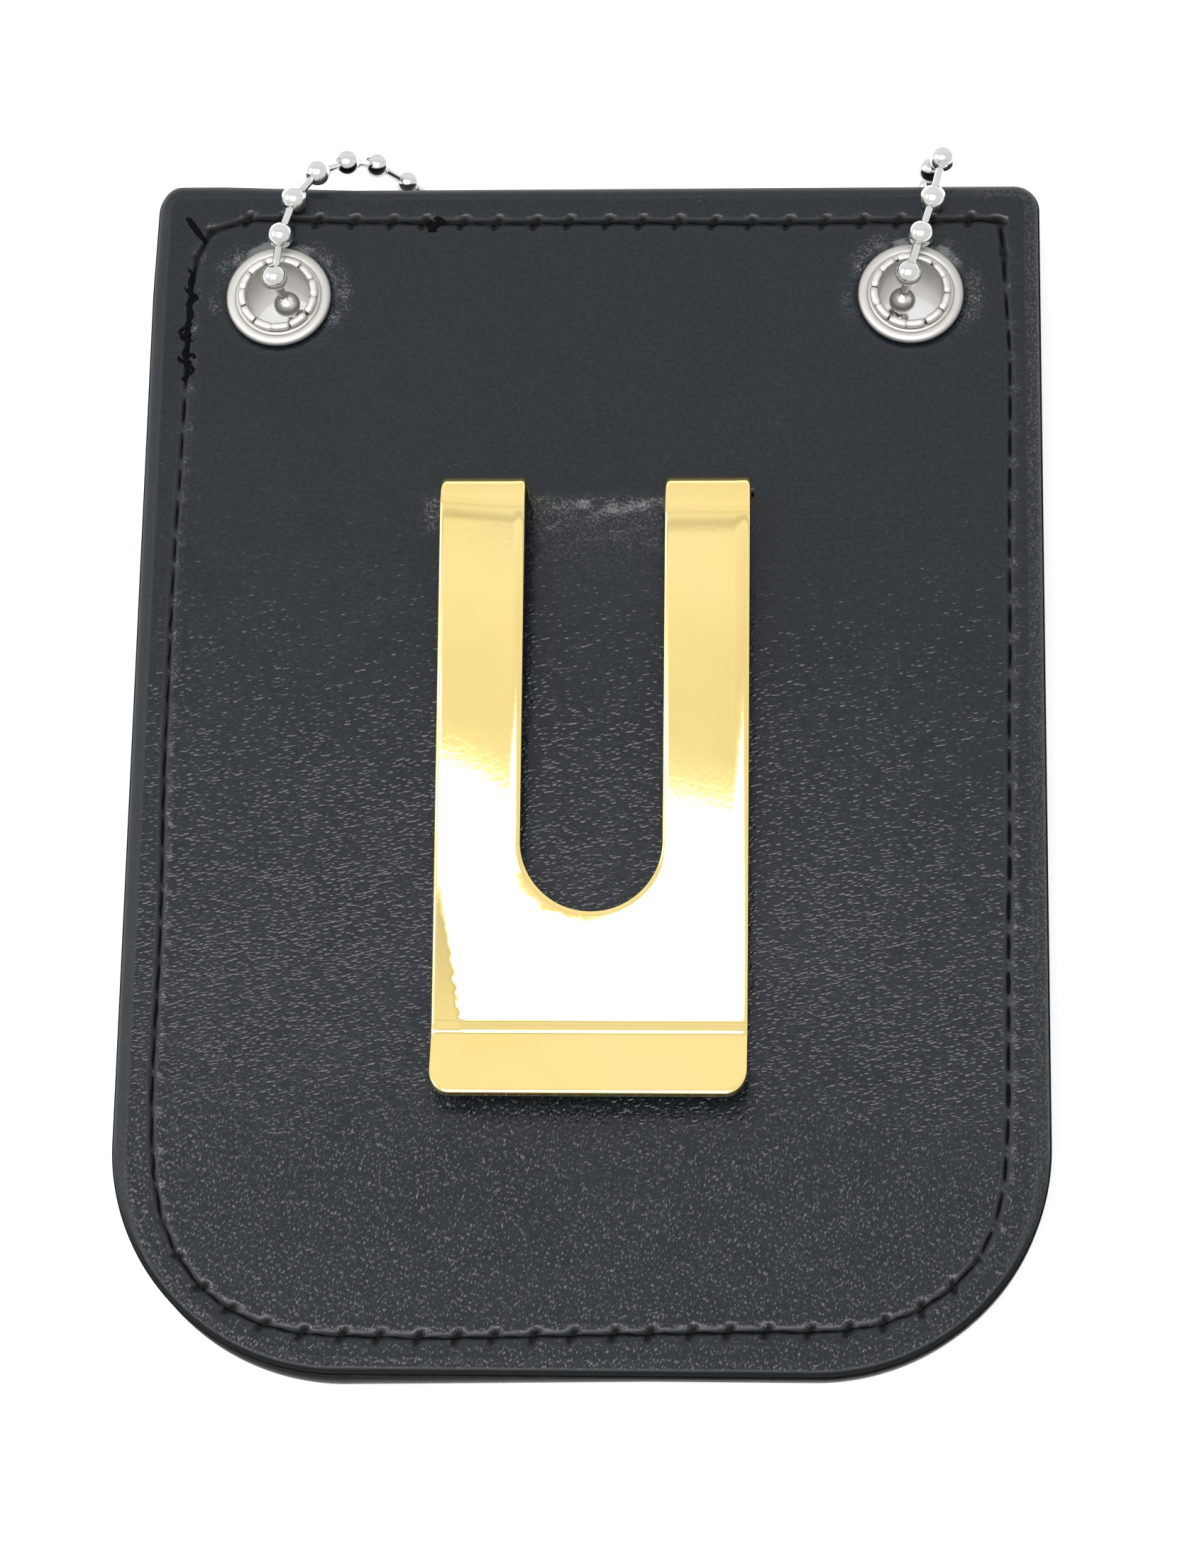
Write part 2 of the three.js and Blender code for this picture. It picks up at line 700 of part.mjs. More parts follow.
// Print the chain's whole length and the coil's least gap to itself
function report(coil, front) {
  const whole = [
    ...vectors(rightBeads), ...vectors(rightRun), beforeConnector,
    new THREE.Vector3(connectorEnd, coilTop.y, connectorZ),
    new THREE.Vector3(connectorStart, coilTop.y, connectorZ),
    ...coil.slice(1), ...vectors(leftRun), ...vectors(leftBeads), ...front,
    vectors(rightBeads)[0],
  ];
  const fine = smooth(coil, 1);
  let least = Infinity;
  for (let i = 0; i < fine.length; i++) {
    for (let j = i + 12; j < fine.length; j++) least = Math.min(least, fine[i].distanceTo(fine[j]));
  }
  console.log(`chain length ${lengthOf(whole).toFixed(1)} mm`);
  console.log(`coil least gap to itself ${(least - beadDiameter).toFixed(2)} mm`);
}

function chainConnector() {
  const radius = connectorDiameter / 2;
  const r = connectorRounding;
  const profile = [
    new THREE.Vector2(0, 0),
    ...arcPoints(new THREE.Vector2(radius - r, r), r, -90, 0, 2),
    ...arcPoints(new THREE.Vector2(radius - r, connectorLength - r), r, 0, 90, 2),
    new THREE.Vector2(0, connectorLength),
  ];
  const body = solid(new THREE.LatheGeometry(profile, 16).rotateZ(-Math.PI / 2));
  const placed = body.translate([connectorStart, coilTop.y, connectorZ]);
  const keyway = box(
    connectorStart + connectorMouth, connectorEnd - connectorMouth,
    coilTop.y - linkDiameter / 2, coilTop.y + linkDiameter / 2,
    connectorZ + radius / 2, connectorZ + radius + 1,
  );
  addPiece("chain_connector", placed.subtract(keyway), nickel);
}

// Flat tie round the three turns of the coil
function chainTie() {
  const inner = coilInnerRadius + (2 * coilSpacing * 120) / 360 - beadDiameter / 2 - chainGap;
  const outer = inner + 2 * coilSpacing + beadDiameter + 2 * chainGap;
  const high = tableZ + tieThickness + 2 * chainGap + beadDiameter;
  const ring = box(
    inner - tieThickness, outer + tieThickness, -tieWidth / 2, tieWidth / 2, tableZ, high + tieThickness,
  );
  const inside = box(inner, outer, -tieWidth, tieWidth, tableZ + tieThickness, high);
  const tie = ring.subtract(inside).rotate([0, 0, tieAzimuth]).translate([0, coilCentreY, 0]);
  addPiece("chain_tie", tie, tieBlack);
}

frontCover();
recessFrame("front_board", frontBoardZ, spacerZ, fibreboard);
recessFrame("recess_spacer", spacerZ, flangeZ, suede);
badgeSeat();
backLining();
backBoard();
clipAnchor();
clipTongue();
backCover();
eyelets();
chain();
chainConnector();
chainTie();

export default group;
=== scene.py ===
from functools import cached_property
from math import cos, exp, pi, radians, sin

import bpy
import numpy as np
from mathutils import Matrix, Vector
from mathutils.geometry import delaunay_2d_cdt


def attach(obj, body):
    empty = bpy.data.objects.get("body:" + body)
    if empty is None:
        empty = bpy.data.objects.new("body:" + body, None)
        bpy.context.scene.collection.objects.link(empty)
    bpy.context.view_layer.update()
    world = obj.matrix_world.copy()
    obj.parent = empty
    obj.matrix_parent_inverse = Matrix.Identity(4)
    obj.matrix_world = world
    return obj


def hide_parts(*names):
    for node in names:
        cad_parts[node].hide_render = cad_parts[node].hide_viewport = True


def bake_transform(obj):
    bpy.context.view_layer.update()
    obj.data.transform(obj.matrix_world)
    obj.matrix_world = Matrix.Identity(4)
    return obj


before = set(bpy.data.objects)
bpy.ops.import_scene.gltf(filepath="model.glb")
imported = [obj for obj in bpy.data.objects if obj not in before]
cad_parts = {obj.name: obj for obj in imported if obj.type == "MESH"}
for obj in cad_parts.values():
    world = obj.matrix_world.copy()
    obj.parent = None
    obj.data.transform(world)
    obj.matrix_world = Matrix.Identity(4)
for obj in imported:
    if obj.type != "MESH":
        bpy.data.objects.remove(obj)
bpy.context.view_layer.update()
scene = bpy.context.scene
draw = np.random.default_rng(20)
MM = 0.001

# Sizes shared with the part
WIDTH, HEIGHT = 80.0, 108.0
OUTER = dict(width=WIDTH, height=HEIGHT, top=2.3, bottom=20.0)
WINDOW = dict(width=54.0, height=72.0, top=10.0, bottom=24.0)
BACK_Z, FRONT_Z = 4.0, -3.0
EYELET_X, EYELET_Y = 28.4, 43.2
CHAIN_Z, TABLE_Z, BEAD = -4.8, -6.0, 2.4
CLIP_X, CLIP_WIDTH, HALF_SHEET = 0.8, 27.0, 0.4
SLIT_Y = 24.2
SLITS = [(-12.9, -5.3), (6.9, 14.5)]

# Sizes of the looks alone
EDGE_RADIUS = 1.3
STITCH_PITCH, BEAD_PITCH = 3.27, 3.93
BORE = 3.3
ARCH = range(0, 91, 15)


def placed(name, data):
    """A new object in the scene."""
    piece = bpy.data.objects.new(name, data)
    scene.collection.objects.link(piece)
    return piece


# Camera

lens = bpy.data.cameras.new("camera")
lens.lens = 100.0
lens.sensor_width = 36.0
camera = placed("camera", lens)
camera.location = Vector((21.498, -108.856, 366.198)) * MM
camera.rotation_euler = [radians(a) for a in (16.3903, 2.9713, 0.9323)]
scene.camera = camera


# Materials

class Nodes:
    """Short words for building the node tree of a material or of the world."""

    def __init__(self, owner, **constants):
        if isinstance(owner, str):
            owner = bpy.data.materials.new(owner)
        owner.use_nodes = True
        self.owner, self.tree = owner, owner.node_tree
        self.shader = self.tree.nodes.get("Principled BSDF")
        for key, value in constants.items():
            self.shader.inputs[key.replace("_", " ")].default_value = value

    def new(self, kind, inputs=(), **settings):
        """A node with its settings made, and a value or a link on each of the inputs."""
        node = self.tree.nodes.new(kind)
        for key, value in settings.items():
            setattr(node, key, value)
        for key, value in dict(inputs).items():
            if isinstance(value, bpy.types.NodeSocket):
                self.join(value, node.inputs[key])
            else:
                node.inputs[key].default_value = value
        return node

    def join(self, source, target):
        self.tree.links.new(source, target)

    @cached_property
    def place(self):
        return self.new("ShaderNodeTexCoord").outputs["Object"]

    def stretched(self, size, turn=0.0):
        """Coordinates in which features come out longer by size along each axis, turned by an angle."""
        inputs = {"Scale": size, "Rotation": (0, 0, turn), "Vector": self.place}
        return self.new("ShaderNodeMapping", inputs, vector_type="TEXTURE").outputs["Vector"]

    def noise(self, scale, detail=2.0, roughness=0.5, place=None):
        inputs = {"Scale": scale, "Detail": detail, "Roughness": roughness, "Vector": place or self.place}
        return self.new("ShaderNodeTexNoise", inputs).outputs["Fac"]

    def domes(self, scale, place):
        """Pebbles of random height: a rounded hollow round each cell's middle, turned over by the bump's sign."""
        cells = self.new("ShaderNodeTexVoronoi", {"Scale": scale, "Vector": place}).outputs
        height = self.maths("POWER", self.spread(cells["Color"], 0.25, 0.85), 2.6)
        height = self.maths("ADD", self.times(height, 2.7), 0.22)
        return self.times(self.times(cells["Distance"], cells["Distance"]), height)

    def maths(self, operation, *values):
        return self.new("ShaderNodeMath", enumerate(values), operation=operation).outputs["Value"]

    def times(self, first, second):
        return self.maths("MULTIPLY", first, second)

    def sum(self, first, second, share=1.0):
        return self.maths("MULTIPLY_ADD", second, share, first)

    def mark(self):
        """The three marks that the mesh code leaves on each point: painted glints with raised wrinkles, painted shade,
        and smooth.
        """
        colour = self.new("ShaderNodeAttribute", attribute_name="marks").outputs["Color"]
        parts = self.new("ShaderNodeSeparateColor", {"Color": colour})
        return [parts.outputs[name] for name in ("Red", "Green", "Blue")]

    def spread(self, value, low, high, start=0.0, end=1.0):
        inputs = {"Value": value, "From Min": low, "From Max": high, "To Min": start, "To Max": end}
        return self.new("ShaderNodeMapRange", inputs).outputs["Result"]

    def blend(self, value, first, second):
        inputs = {key: (*tone, 1) if isinstance(tone, tuple) else tone for key, tone in (("A", first), ("B", second))}
        return self.new("ShaderNodeMix", {**inputs, "Factor": value}, data_type="RGBA").outputs["Result"]

    def colour(self, value, first, second):
        self.join(self.blend(value, first, second), self.shader.inputs["Base Color"])

    def rough(self, value, low, high, more=None):
        level = self.spread(value, 0.3, 0.7, low, high)
        self.join(self.maths("ADD", level, more) if more else level, self.shader.inputs["Roughness"])

    def bump(self, height, depth, strength=1.0, under=None, invert=False):
        inputs = {"Distance": depth * MM, "Strength": strength, "Height": height}
        if under:
            inputs["Normal"] = under
        normal = self.new("ShaderNodeBump", inputs, invert=invert).outputs["Normal"]
        self.join(normal, self.shader.inputs["Normal"])
        return normal


def leather_finish(name, dark, pale, rough, grain):
    n = Nodes(name, Specular_IOR_Level=0.42)
    glint_and_wrinkle, hollow, smooth = n.mark()
    patches = n.noise(70, 3)
    pores = n.spread(n.noise(3000, 2, 0.6), 0.36, 0.64)
    tone = n.blend(n.sum(pores, patches, 0.3), dark, pale)
    y = n.new("ShaderNodeSeparateXYZ", {"Vector": n.place}).outputs["Y"]
    # Across the holder's middle the pebbles change from lying ones above to upright ones below
    down = n.sum(y, n.noise(45, 2), 0.03)
    above = n.spread(down, -0.022, -0.010)
    below = n.maths("SUBTRACT", 1.0, above)
    # Painted glints: pale upright streaks on the lower half stand in for glints off the grain, and pale flecks stand in
    # for glints off wrinkled leather
    painted_streaks = n.spread(n.noise(2300, 2, 0.6, n.stretched((0.42, 1.0, 1.0), -0.34)), 0.60, 0.70, 0.0, 0.6)
    painted_glints = n.times(glint_and_wrinkle, n.spread(n.noise(4600, 3, 0.6), 0.50, 0.62))
    painted_glints = n.maths("MAXIMUM", painted_glints, n.times(n.maths("SUBTRACT", below, smooth), painted_streaks))
    # Painted shade: the hollow mark turns the leather nearly black in stitch holes, slits, the seam groove and the dark
    # edge bands
    n.colour(hollow, n.blend(painted_glints, tone, (0.20, 0.205, 0.215)), (0.0015, 0.0015, 0.0015))
    dull = n.maths("ADD", n.times(hollow, 0.7), n.times(smooth, 0.38))
    n.rough(n.sum(n.noise(260, 3), patches, 0.35), rough - 0.03, rough + 0.05, dull)
    lying = n.domes(2300, n.stretched((1.0, 0.52, 1.0), 0.26))
    upright = n.domes(2400, n.stretched((0.44, 1.0, 1.0), -0.34))
    pebbles = n.sum(n.times(lying, above), n.times(upright, below))
    raised = n.times(n.maths("SUBTRACT", 1.0, smooth), n.spread(down, -0.012, 0.036, 1.0, 0.24))
    raised = n.times(raised, n.spread(down, -0.036, -0.014, 0.8, 1.0))
    # The face tips over toward the bottom, which keeps the softbox out of it there
    dished = n.spread(y, -0.018, -0.054)
    under = n.bump(n.times(dished, dished), 1.6)
    under = n.bump(pebbles, grain, raised, under, invert=True)
    under = n.bump(n.noise(1500, 2, 0.6), grain * 0.2, raised, under)
    under = n.bump(n.noise(2600, 3, 0.6), 0.17, glint_and_wrinkle, under)
    n.bump(n.noise(6000, 2, 0.6), grain * 0.05, 0.6, under)
    return n.owner


def matt_finish(name, level, noise, dark, pale, rough, depth, stretch=None):
    n = Nodes(name, Specular_IOR_Level=level)
    grains = n.noise(*noise, n.stretched(*stretch) if stretch else None)
    n.colour(grains, dark, pale)
    n.rough(grains, *rough)
    n.bump(grains, depth)
    return n.owner


def suede_finish(name):
    n = Nodes(name, Specular_IOR_Level=0.15, Sheen_Weight=0.25)
    nap = n.noise(2600, 4, 0.7)
    n.colour(n.sum(n.noise(160, 3), nap, 0.4), (0.028, 0.022, 0.017), (0.06, 0.05, 0.04))
    n.rough(nap, 0.85, 0.98)
    n.bump(nap, 0.07)
    return n.owner


def metal_finish(name, dark, pale, rough, waves, depth, peel, brushed=(1, 1, 1)):
    n = Nodes(name, Metallic=1.0)
    stains = n.noise(90, 3)
    n.colour(stains, dark, pale)
    scratches = n.noise(420, 4, 0.65, n.stretched(brushed, 0.5))
    n.rough(n.sum(stains, scratches, 0.4), *rough)
    under = n.bump(n.noise(waves, 1.5), depth)
    under = n.bump(n.noise(1900, 2), peel, 1.0, under)
    n.bump(scratches, depth * 0.02, 0.6, under)
    return n.owner


cover = leather_finish("cover_leather_look", (0.0010, 0.0040, 0.0073), (0.0075, 0.0122, 0.0165), 0.15, 0.040)
seat_leather = leather_finish("seat_leather_look", (0.003, 0.004, 0.005), (0.011, 0.012, 0.013), 0.32, 0.03)
suede = suede_finish("lining_look")
board = matt_finish("board_look", 0.2, (600, 5, 0.7), (0.09, 0.055, 0.032), (0.19, 0.125, 0.075), (0.8, 0.95), 0.08,
                    ((1, 5, 1), 0.4))
paint = matt_finish("edge_paint_look", 0.02, (900, 4, 0.6), (0.0015, 0.0016, 0.002), (0.004, 0.0042, 0.005),
                    (0.7, 0.9), 0.02)
thread = matt_finish("thread_look", 0.05, (5200, 3, 0.6), (0.0015, 0.0015, 0.002), (0.006, 0.006, 0.007),
                     (0.7, 0.9), 0.03)
plastic = matt_finish("tie_look", 0.4, (1500, 3, 0.5), (0.008, 0.008, 0.009), (0.016, 0.016, 0.018), (0.45, 0.62), 0.02)
gold = metal_finish("clip_gold", (0.93, 0.705, 0.24), (0.99, 0.80, 0.37), (0.02, 0.05), 90, 0.010, 0.0014, (1, 4, 1))
nickel = metal_finish("eyelet_nickel", (0.60, 0.58, 0.55), (0.70, 0.68, 0.65), (0.38, 0.53), 700, 0.005, 0.001)
rubbed = metal_finish("washer_nickel", (0.48, 0.465, 0.44), (0.57, 0.555, 0.53), (0.38, 0.54), 700, 0.005, 0.001)
chrome = metal_finish("chain_steel", (0.64, 0.64, 0.63), (0.76, 0.76, 0.75), (0.06, 0.16), 1300, 0.006, 0.001)


# Meshes

def make(name, shell, finish, body="holder", normals=None, angle=60, marks=None):
    """The piece for a shell. Edges sharper than angle stay sharp, unless the points' own normals are given."""
    mesh = bpy.data.meshes.new(name)
    mesh.from_pydata((np.asarray(shell.points, float) * MM).tolist(), [], [tuple(map(int, f)) for f in shell.faces])
    mesh.shade_smooth()
    if normals is None:
        mesh.set_sharp_from_angle(angle=radians(angle))
    else:
        mesh.normals_split_custom_set_from_vertices(normals.tolist())
    if marks is not None:
        layer = mesh.attributes.new("marks", "FLOAT_COLOR", "POINT")
        layer.data.foreach_set("color", np.column_stack([marks, np.ones(len(marks))]).ravel())
    mesh.materials.append(finish)
    piece = placed(name, mesh)
    if body:
        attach(piece, body)
    return piece


class Shell:
    """Points and faces gathered ring by ring."""

    def __init__(self):
        self.points = []
        self.faces = []

    def ring(self, xyz):
        start = len(self.points)
        self.points.extend(np.asarray(xyz, float).tolist())
        return list(range(start, len(self.points)))

    def level(self, xy, z):
        """A ring from flat points and their height or heights."""
        return self.ring(at_height(xy, z))

    def skin(self, rings, closed=False, capped=False, inward=False):
        """Faces from each ring to the next, and from the last to the first where closed. inward turns them over."""
        for low, high in zip(rings, rings[1:] + (rings[:1] if closed else [])):
            if inward:
                low, high = high, low
            for i, j in zip(range(len(low)), [*range(1, len(low)), 0]):
                self.faces.append((low[i], low[j], high[j], high[i]))
        if capped:
            self.faces += [tuple(reversed(rings[0])), tuple(rings[-1])]


def at_height(xy, z):
    return np.column_stack([xy, np.broadcast_to(z, len(xy))])


def ramp(value, start, width):
    """0 up to start, and rising to 1 over a width, which is negative for a fall."""
    return np.clip((value - start) / width, 0, 1)


def dip(distance, width, flat=0.0):
    """1 at no distance and out to a flat reach, and falling away softly over a width past it."""
    return np.exp(-((np.maximum(np.abs(distance) - flat, 0) / width) ** 2))


def following(loop, by=1):
    return np.roll(loop, -by, axis=0)


def headings(loop, by=1):
    """Unit vectors along a closed run of flat points."""
    ahead = following(loop, by) - following(loop, -by)
    return ahead / np.hypot(*ahead.T)[:, None]


def to_right(ahead):
    """Flat vectors turned a quarter to the right, which is outward on a counter-clockwise loop."""
    return np.column_stack([ahead[:, 1], -ahead[:, 0]])


def lengths(run):
    """How far along a run each of its points lies."""
    return np.concatenate([[0], np.cumsum(np.hypot.reduce(np.diff(run, axis=0), axis=1))])


def around(ahead, tilt, sides):
    """Unit vectors in a circle round a heading: the heading, their angles and the vectors."""
    ahead = ahead / np.linalg.norm(ahead)
    side = np.cross(ahead, tilt)
    side /= np.linalg.norm(side)
    angle = turns(sides)
    return ahead, angle, np.cos(angle)[:, None] * side + np.sin(angle)[:, None] * np.cross(side, ahead)


def turns(sides):
    return np.arange(sides) * 2 * pi / sides


def circle(centre, radius, angle):
    return np.column_stack([centre[0] + radius * np.cos(angle), centre[1] + radius * np.sin(angle)])


def lathe(shell, profile, sides, centre):
    """A closed profile of (radius, height) turned round an upright axis."""
    shell.skin([shell.level(circle(centre, r, turns(sides)), z) for r, z in profile], closed=True)


def arc(centre, radius, start, sweep, count, ends=False):
    """Points along an arc, with the last one left out unless the ends are asked for."""
    return circle(centre, radius, np.radians(start + sweep * np.arange(count + ends) / count))


def rounded(size, inset, step):
    """Counter-clockwise points of a rounded rectangle drawn in by inset, with a count that inset doesn't change."""
    w, h = size["width"] / 2 - inset, size["height"] / 2 - inset
    t, b = (max(size[end] - inset, 0.35) for end in ("top", "bottom"))
    side = int((size["height"] - size["top"] - size["bottom"]) / step)
    wide_top, wide_bottom = (int((size["width"] - 2 * size[end]) / step) for end in ("top", "bottom"))
    turn_top, turn_bottom = max(6, int(1.57 * size["top"] / step)), int(1.57 * size["bottom"] / step)

    def line(a, z, count):
        share = np.arange(count)[:, None] / count
        return np.array(a) * (1 - share) + np.array(z) * share

    return np.vstack([
        line((w, -h + b), (w, h - t), side), arc((w - t, h - t), t, 0, 90, turn_top),
        line((w - t, h), (-w + t, h), wide_top), arc((-w + t, h - t), t, 90, 90, turn_top),
        line((-w, h - t), (-w, -h + b), side), arc((-w + b, -h + b), b, 180, 90, turn_bottom),
        line((-w + b, -h), (w - b, -h), wide_bottom), arc((w - b, -h + b), b, 270, 90, turn_bottom),
    ])


def inset_of(size, p):
    """How far points lie inside a rounded rectangle."""
    radius = np.where(p[:, 1] > 0, size["top"], size["bottom"])
    x = np.abs(p[:, 0]) - (size["width"] / 2 - radius)
    y = np.abs(p[:, 1]) - (size["height"] / 2 - radius)
    outside = np.hypot(np.maximum(x, 0), np.maximum(y, 0)) + np.minimum(np.maximum(x, y), 0)
    return radius - outside


def fill(shell, rings, extra, keep, height, flip=False):
    """Triangles between rings of the shell and through extra points. keep says which triangles stay."""
    ids = [i for ring in rings for i in ring]
    flat = [shell.points[i][:2] for i in ids]
    edges = []
    base = 0
    for ring in rings:
        edges += [(base + i, base + (i + 1) % len(ring)) for i in range(len(ring))]
        base += len(ring)
    if len(extra):
        ids += shell.level(extra, height(extra))
        flat += np.asarray(extra).tolist()
    out, _, faces, origin, _, _ = delaunay_2d_cdt([Vector(p) for p in flat], edges, [], 0, 1e-6)
    faces = np.array(faces)
    chosen = faces[keep(np.array(out)[faces].mean(axis=1))]
    name = [ids[o[0]] for o in origin]
    for a, b, c in chosen:
        shell.faces.append((name[a], name[c], name[b]) if flip else (name[a], name[b], name[c]))


def tumble(p, size, seed):
    """Smooth noise from about -1 to 1, as a sum of waves about size long."""
    pick = np.random.default_rng(seed)
    total = np.zeros(len(p))
    for _ in range(14):
        angle, phase, stretch = pick.uniform(0, 2 * pi), pick.uniform(0, 2 * pi), pick.uniform(0.7, 1.5)
        k = 2 * pi / (size * stretch)
        total += np.sin(k * (p[:, 0] * cos(angle) + p[:, 1] * sin(angle)) + phase)
    return total / 3.7


# Stitch row

def stitch_row():
    """The sewn line's needle holes, and its heading at each."""
    line = np.array([
        (36.2, -34.6), (36.4, -24.8), (36.5, -14.8), (36.7, -4.7), (36.9, 5.6), (36.9, 16.0), (37.1, 26.6),
        (37.1, 37.3), (36.8, 44.1), (36.7, 48.9), (36.3, 50.8), (34.9, 50.6), (32.9, 50.2), (24.4, 50.2), (4.0, 50.2),
        (-11.5, 50.3), (-22.1, 50.4), (-25.7, 50.6), (-29.8, 50.9), (-33.0, 50.7), (-34.7, 49.9), (-35.7, 48.3),
        (-36.3, 45.6), (-36.5, 42.5), (-36.5, 37.7), (-36.6, 32.2), (-36.7, 21.4), (-36.9, 10.8), (-36.9, 0.4),
        (-36.7, -9.9), (-36.6, -20.1), (-36.6, -30.0), (-36.5, -33.7), (-36.2, -37.3), (-35.4, -40.9), (-33.8, -44.2),
        (-31.7, -46.8), (-29.0, -48.8), (-26.0, -50.1), (-22.3, -50.8), (-18.5, -50.9), (-13.7, -51.0), (-4.2, -50.7),
        (5.3, -50.5), (14.8, -50.1), (21.2, -50.1), (24.8, -49.8), (28.3, -48.7), (31.2, -46.8), (33.6, -44.2),
        (35.1, -41.1), (35.9, -38.0),
    ])
    line = np.vstack([line, line[:1]])
    along = lengths(line)
    at = np.arange(0, along[-1], 0.1)
    dense = np.column_stack([np.interp(at, along, line[:, k]) for k in (0, 1)])
    wander = 0.04 * np.sin(at / 9.1) + 0.05 * np.sin(at / 3.7 + 1)
    ahead = headings(dense, 3)
    dense += to_right(ahead) * wander[:, None]
    count = round(along[-1] / STITCH_PITCH)
    marks = (np.arange(count) + draw.uniform(-0.08, 0.08, count)) * along[-1] / count
    place = (marks * 10).astype(int) % len(dense)
    return dense[place], ahead[place]


HOLES, ALONG = stitch_row()


def capsules(p, starts, ends):
    """Distance of each point to the nearest of some line pieces."""
    best = np.full(len(p), 1e9)
    for a, b in zip(starts, ends):
        near = np.abs(p - (a + b) / 2).max(axis=1) < 4
        if not near.any():
            continue
        q, d = p[near] - a, b - a
        t = np.clip(q @ d / (d @ d), 0, 1)
        best[near] = np.minimum(best[near], np.hypot(*(q - t[:, None] * d).T))
    return best


def near_row(p):
    """Distances of points to the sewn line, to its stitches and to its needle slits, and how far a point lies
    on the side of the line toward +x and +y, which is where its puckers show."""
    row, stitch, slit = np.full((3, len(p)), 9.0)
    side = np.zeros(len(p))
    edge = inset_of(OUTER, p)
    close = (edge > 1.2) & (edge < 6.6)
    q = p[close]
    after = following(HOLES)
    gap = (after - HOLES) / np.hypot(*(after - HOLES).T)[:, None]
    trim = 0.2 + 0.35 * slotted(HOLES, gap)[:, None]
    slash = (ALONG * 0.55 - to_right(ALONG)) * (0.42 - 0.28 * upright(gap)[:, None])
    stitch[close] = capsules(q, HOLES + gap * trim, after - gap * trim)
    slit[close] = capsules(q, HOLES - slash, HOLES + slash)
    slit[close] += 0.25 * np.interp(q[:, 1], [-46, -40, 44, 48], [0, 1, 1, 0])
    row[close] = capsules(q, HOLES, after)
    side[close] = np.clip(0.5 + (capsules(q + 0.07, HOLES, after) - row[close]) / 0.099, 0, 1)
    side[close] *= np.interp(q[:, 1], [-50, -45, 46, 49], [0.6, 1.0, 1.0, 0.35])
    return row, stitch, slit, side


def upright(ahead):
    return ramp(np.abs(ahead[..., 1]), 0.7, 0.2)


def slotted(place, ahead):
    """Share of a stitch that lies in a slot of its own: at the right side and high at the left."""
    return upright(ahead) * np.where(place[..., 0] > 0, 1.0, np.clip((place[..., 1] - 8) / 20, 0.15, 0.8))


def sewn(p, seed):
    """Relief of the stitch row: pulled-down channel, sunk stitches, needle slits and puckers beside them."""
    row, stitch, slit, side = near_row(p)
    puckers = (0.5 + 0.5 * tumble(p, 1.2, seed)) * (0.45 + 0.55 * dip(slit, 0.9))
    return (
        -0.03 * dip(row, 0.55) - 0.27 * dip(stitch, 0.16) - 0.45 * dip(slit, 0.28)
        + (0.01 + 0.12 * puckers * side) * dip(row - 0.7, 0.4)
    )


def sewn_marks(p, seed):
    """Where the row's leather gets painted glints and raised wrinkles on its puckers, where it gets painted shade in
    its stitch holes, slits and top channel, and where it is pulled smooth.
    """
    row, stitch, slit, side = near_row(p)
    puckers = np.clip(0.5 + 0.75 * tumble(p, 1.3, seed + 40), 0, 1)
    glint_and_wrinkle = puckers * dip(row - 0.62, 0.24, 0.15) * side * (0.06 + 0.94 * dip(slit, 0.75))
    glint_and_wrinkle *= 1 + 0.8 * ramp(-p[:, 0], 30, 4)
    hollow = np.maximum(dip(stitch, 0.09, 0.03), dip(slit, 0.15, 0.16))
    hollow = np.maximum(hollow, 0.85 * dip(row, 0.42) * ramp(p[:, 1], 42, 5))
    return glint_and_wrinkle, hollow, 0.7 * ramp(row, 0.5, -0.12)


def eyelet_gap(p):
    return np.hypot(np.abs(p[:, 0]) - EYELET_X, p[:, 1] - EYELET_Y)


def under_clip(p):
    """Shares of the bulge that the anchor presses up, across the clip and between its legs."""
    x = np.abs(p[:, 0] - CLIP_X)
    below = SLIT_Y - p[:, 1]
    lip = np.exp(np.minimum(below, 0) / 0.4 - np.maximum(below, 0) / 4.5)
    return ramp(x, 14.0, -1.2), ramp(x, 6.6, -0.8), below, lip


# Where the leather puffs up round the washers: the side, a heading, a spread and an amount
LOBES = [(-1, 2, 30, 1.0), (-1, 42, 16, 0.45), (-1, 140, 24, 0.55), (-1, 188, 12, 0.4),
         (1, 136, 24, 0.9), (1, -6, 24, 0.9), (1, 53, 12, 0.35), (1, 190, 12, 0.5)]


def puffed(p):
    """Leather that stands up in wrinkles at some places round each washer."""
    turn = np.degrees(np.arctan2(p[:, 1] - EYELET_Y, np.abs(p[:, 0]) - EYELET_X))
    share = np.zeros(len(p))
    for side, heading, spread, amount in LOBES:
        own = turn if side > 0 else 180 - turn
        off = (own - heading + 180) % 360 - 180
        share = np.maximum(share, np.where(p[:, 0] * side > 0, amount * dip(off, spread), 0))
    r = eyelet_gap(p)
    return share * dip(r - 5.65, 0.5, 0.3) * (0.75 + 0.5 * tumble(p, 1.9, 8))


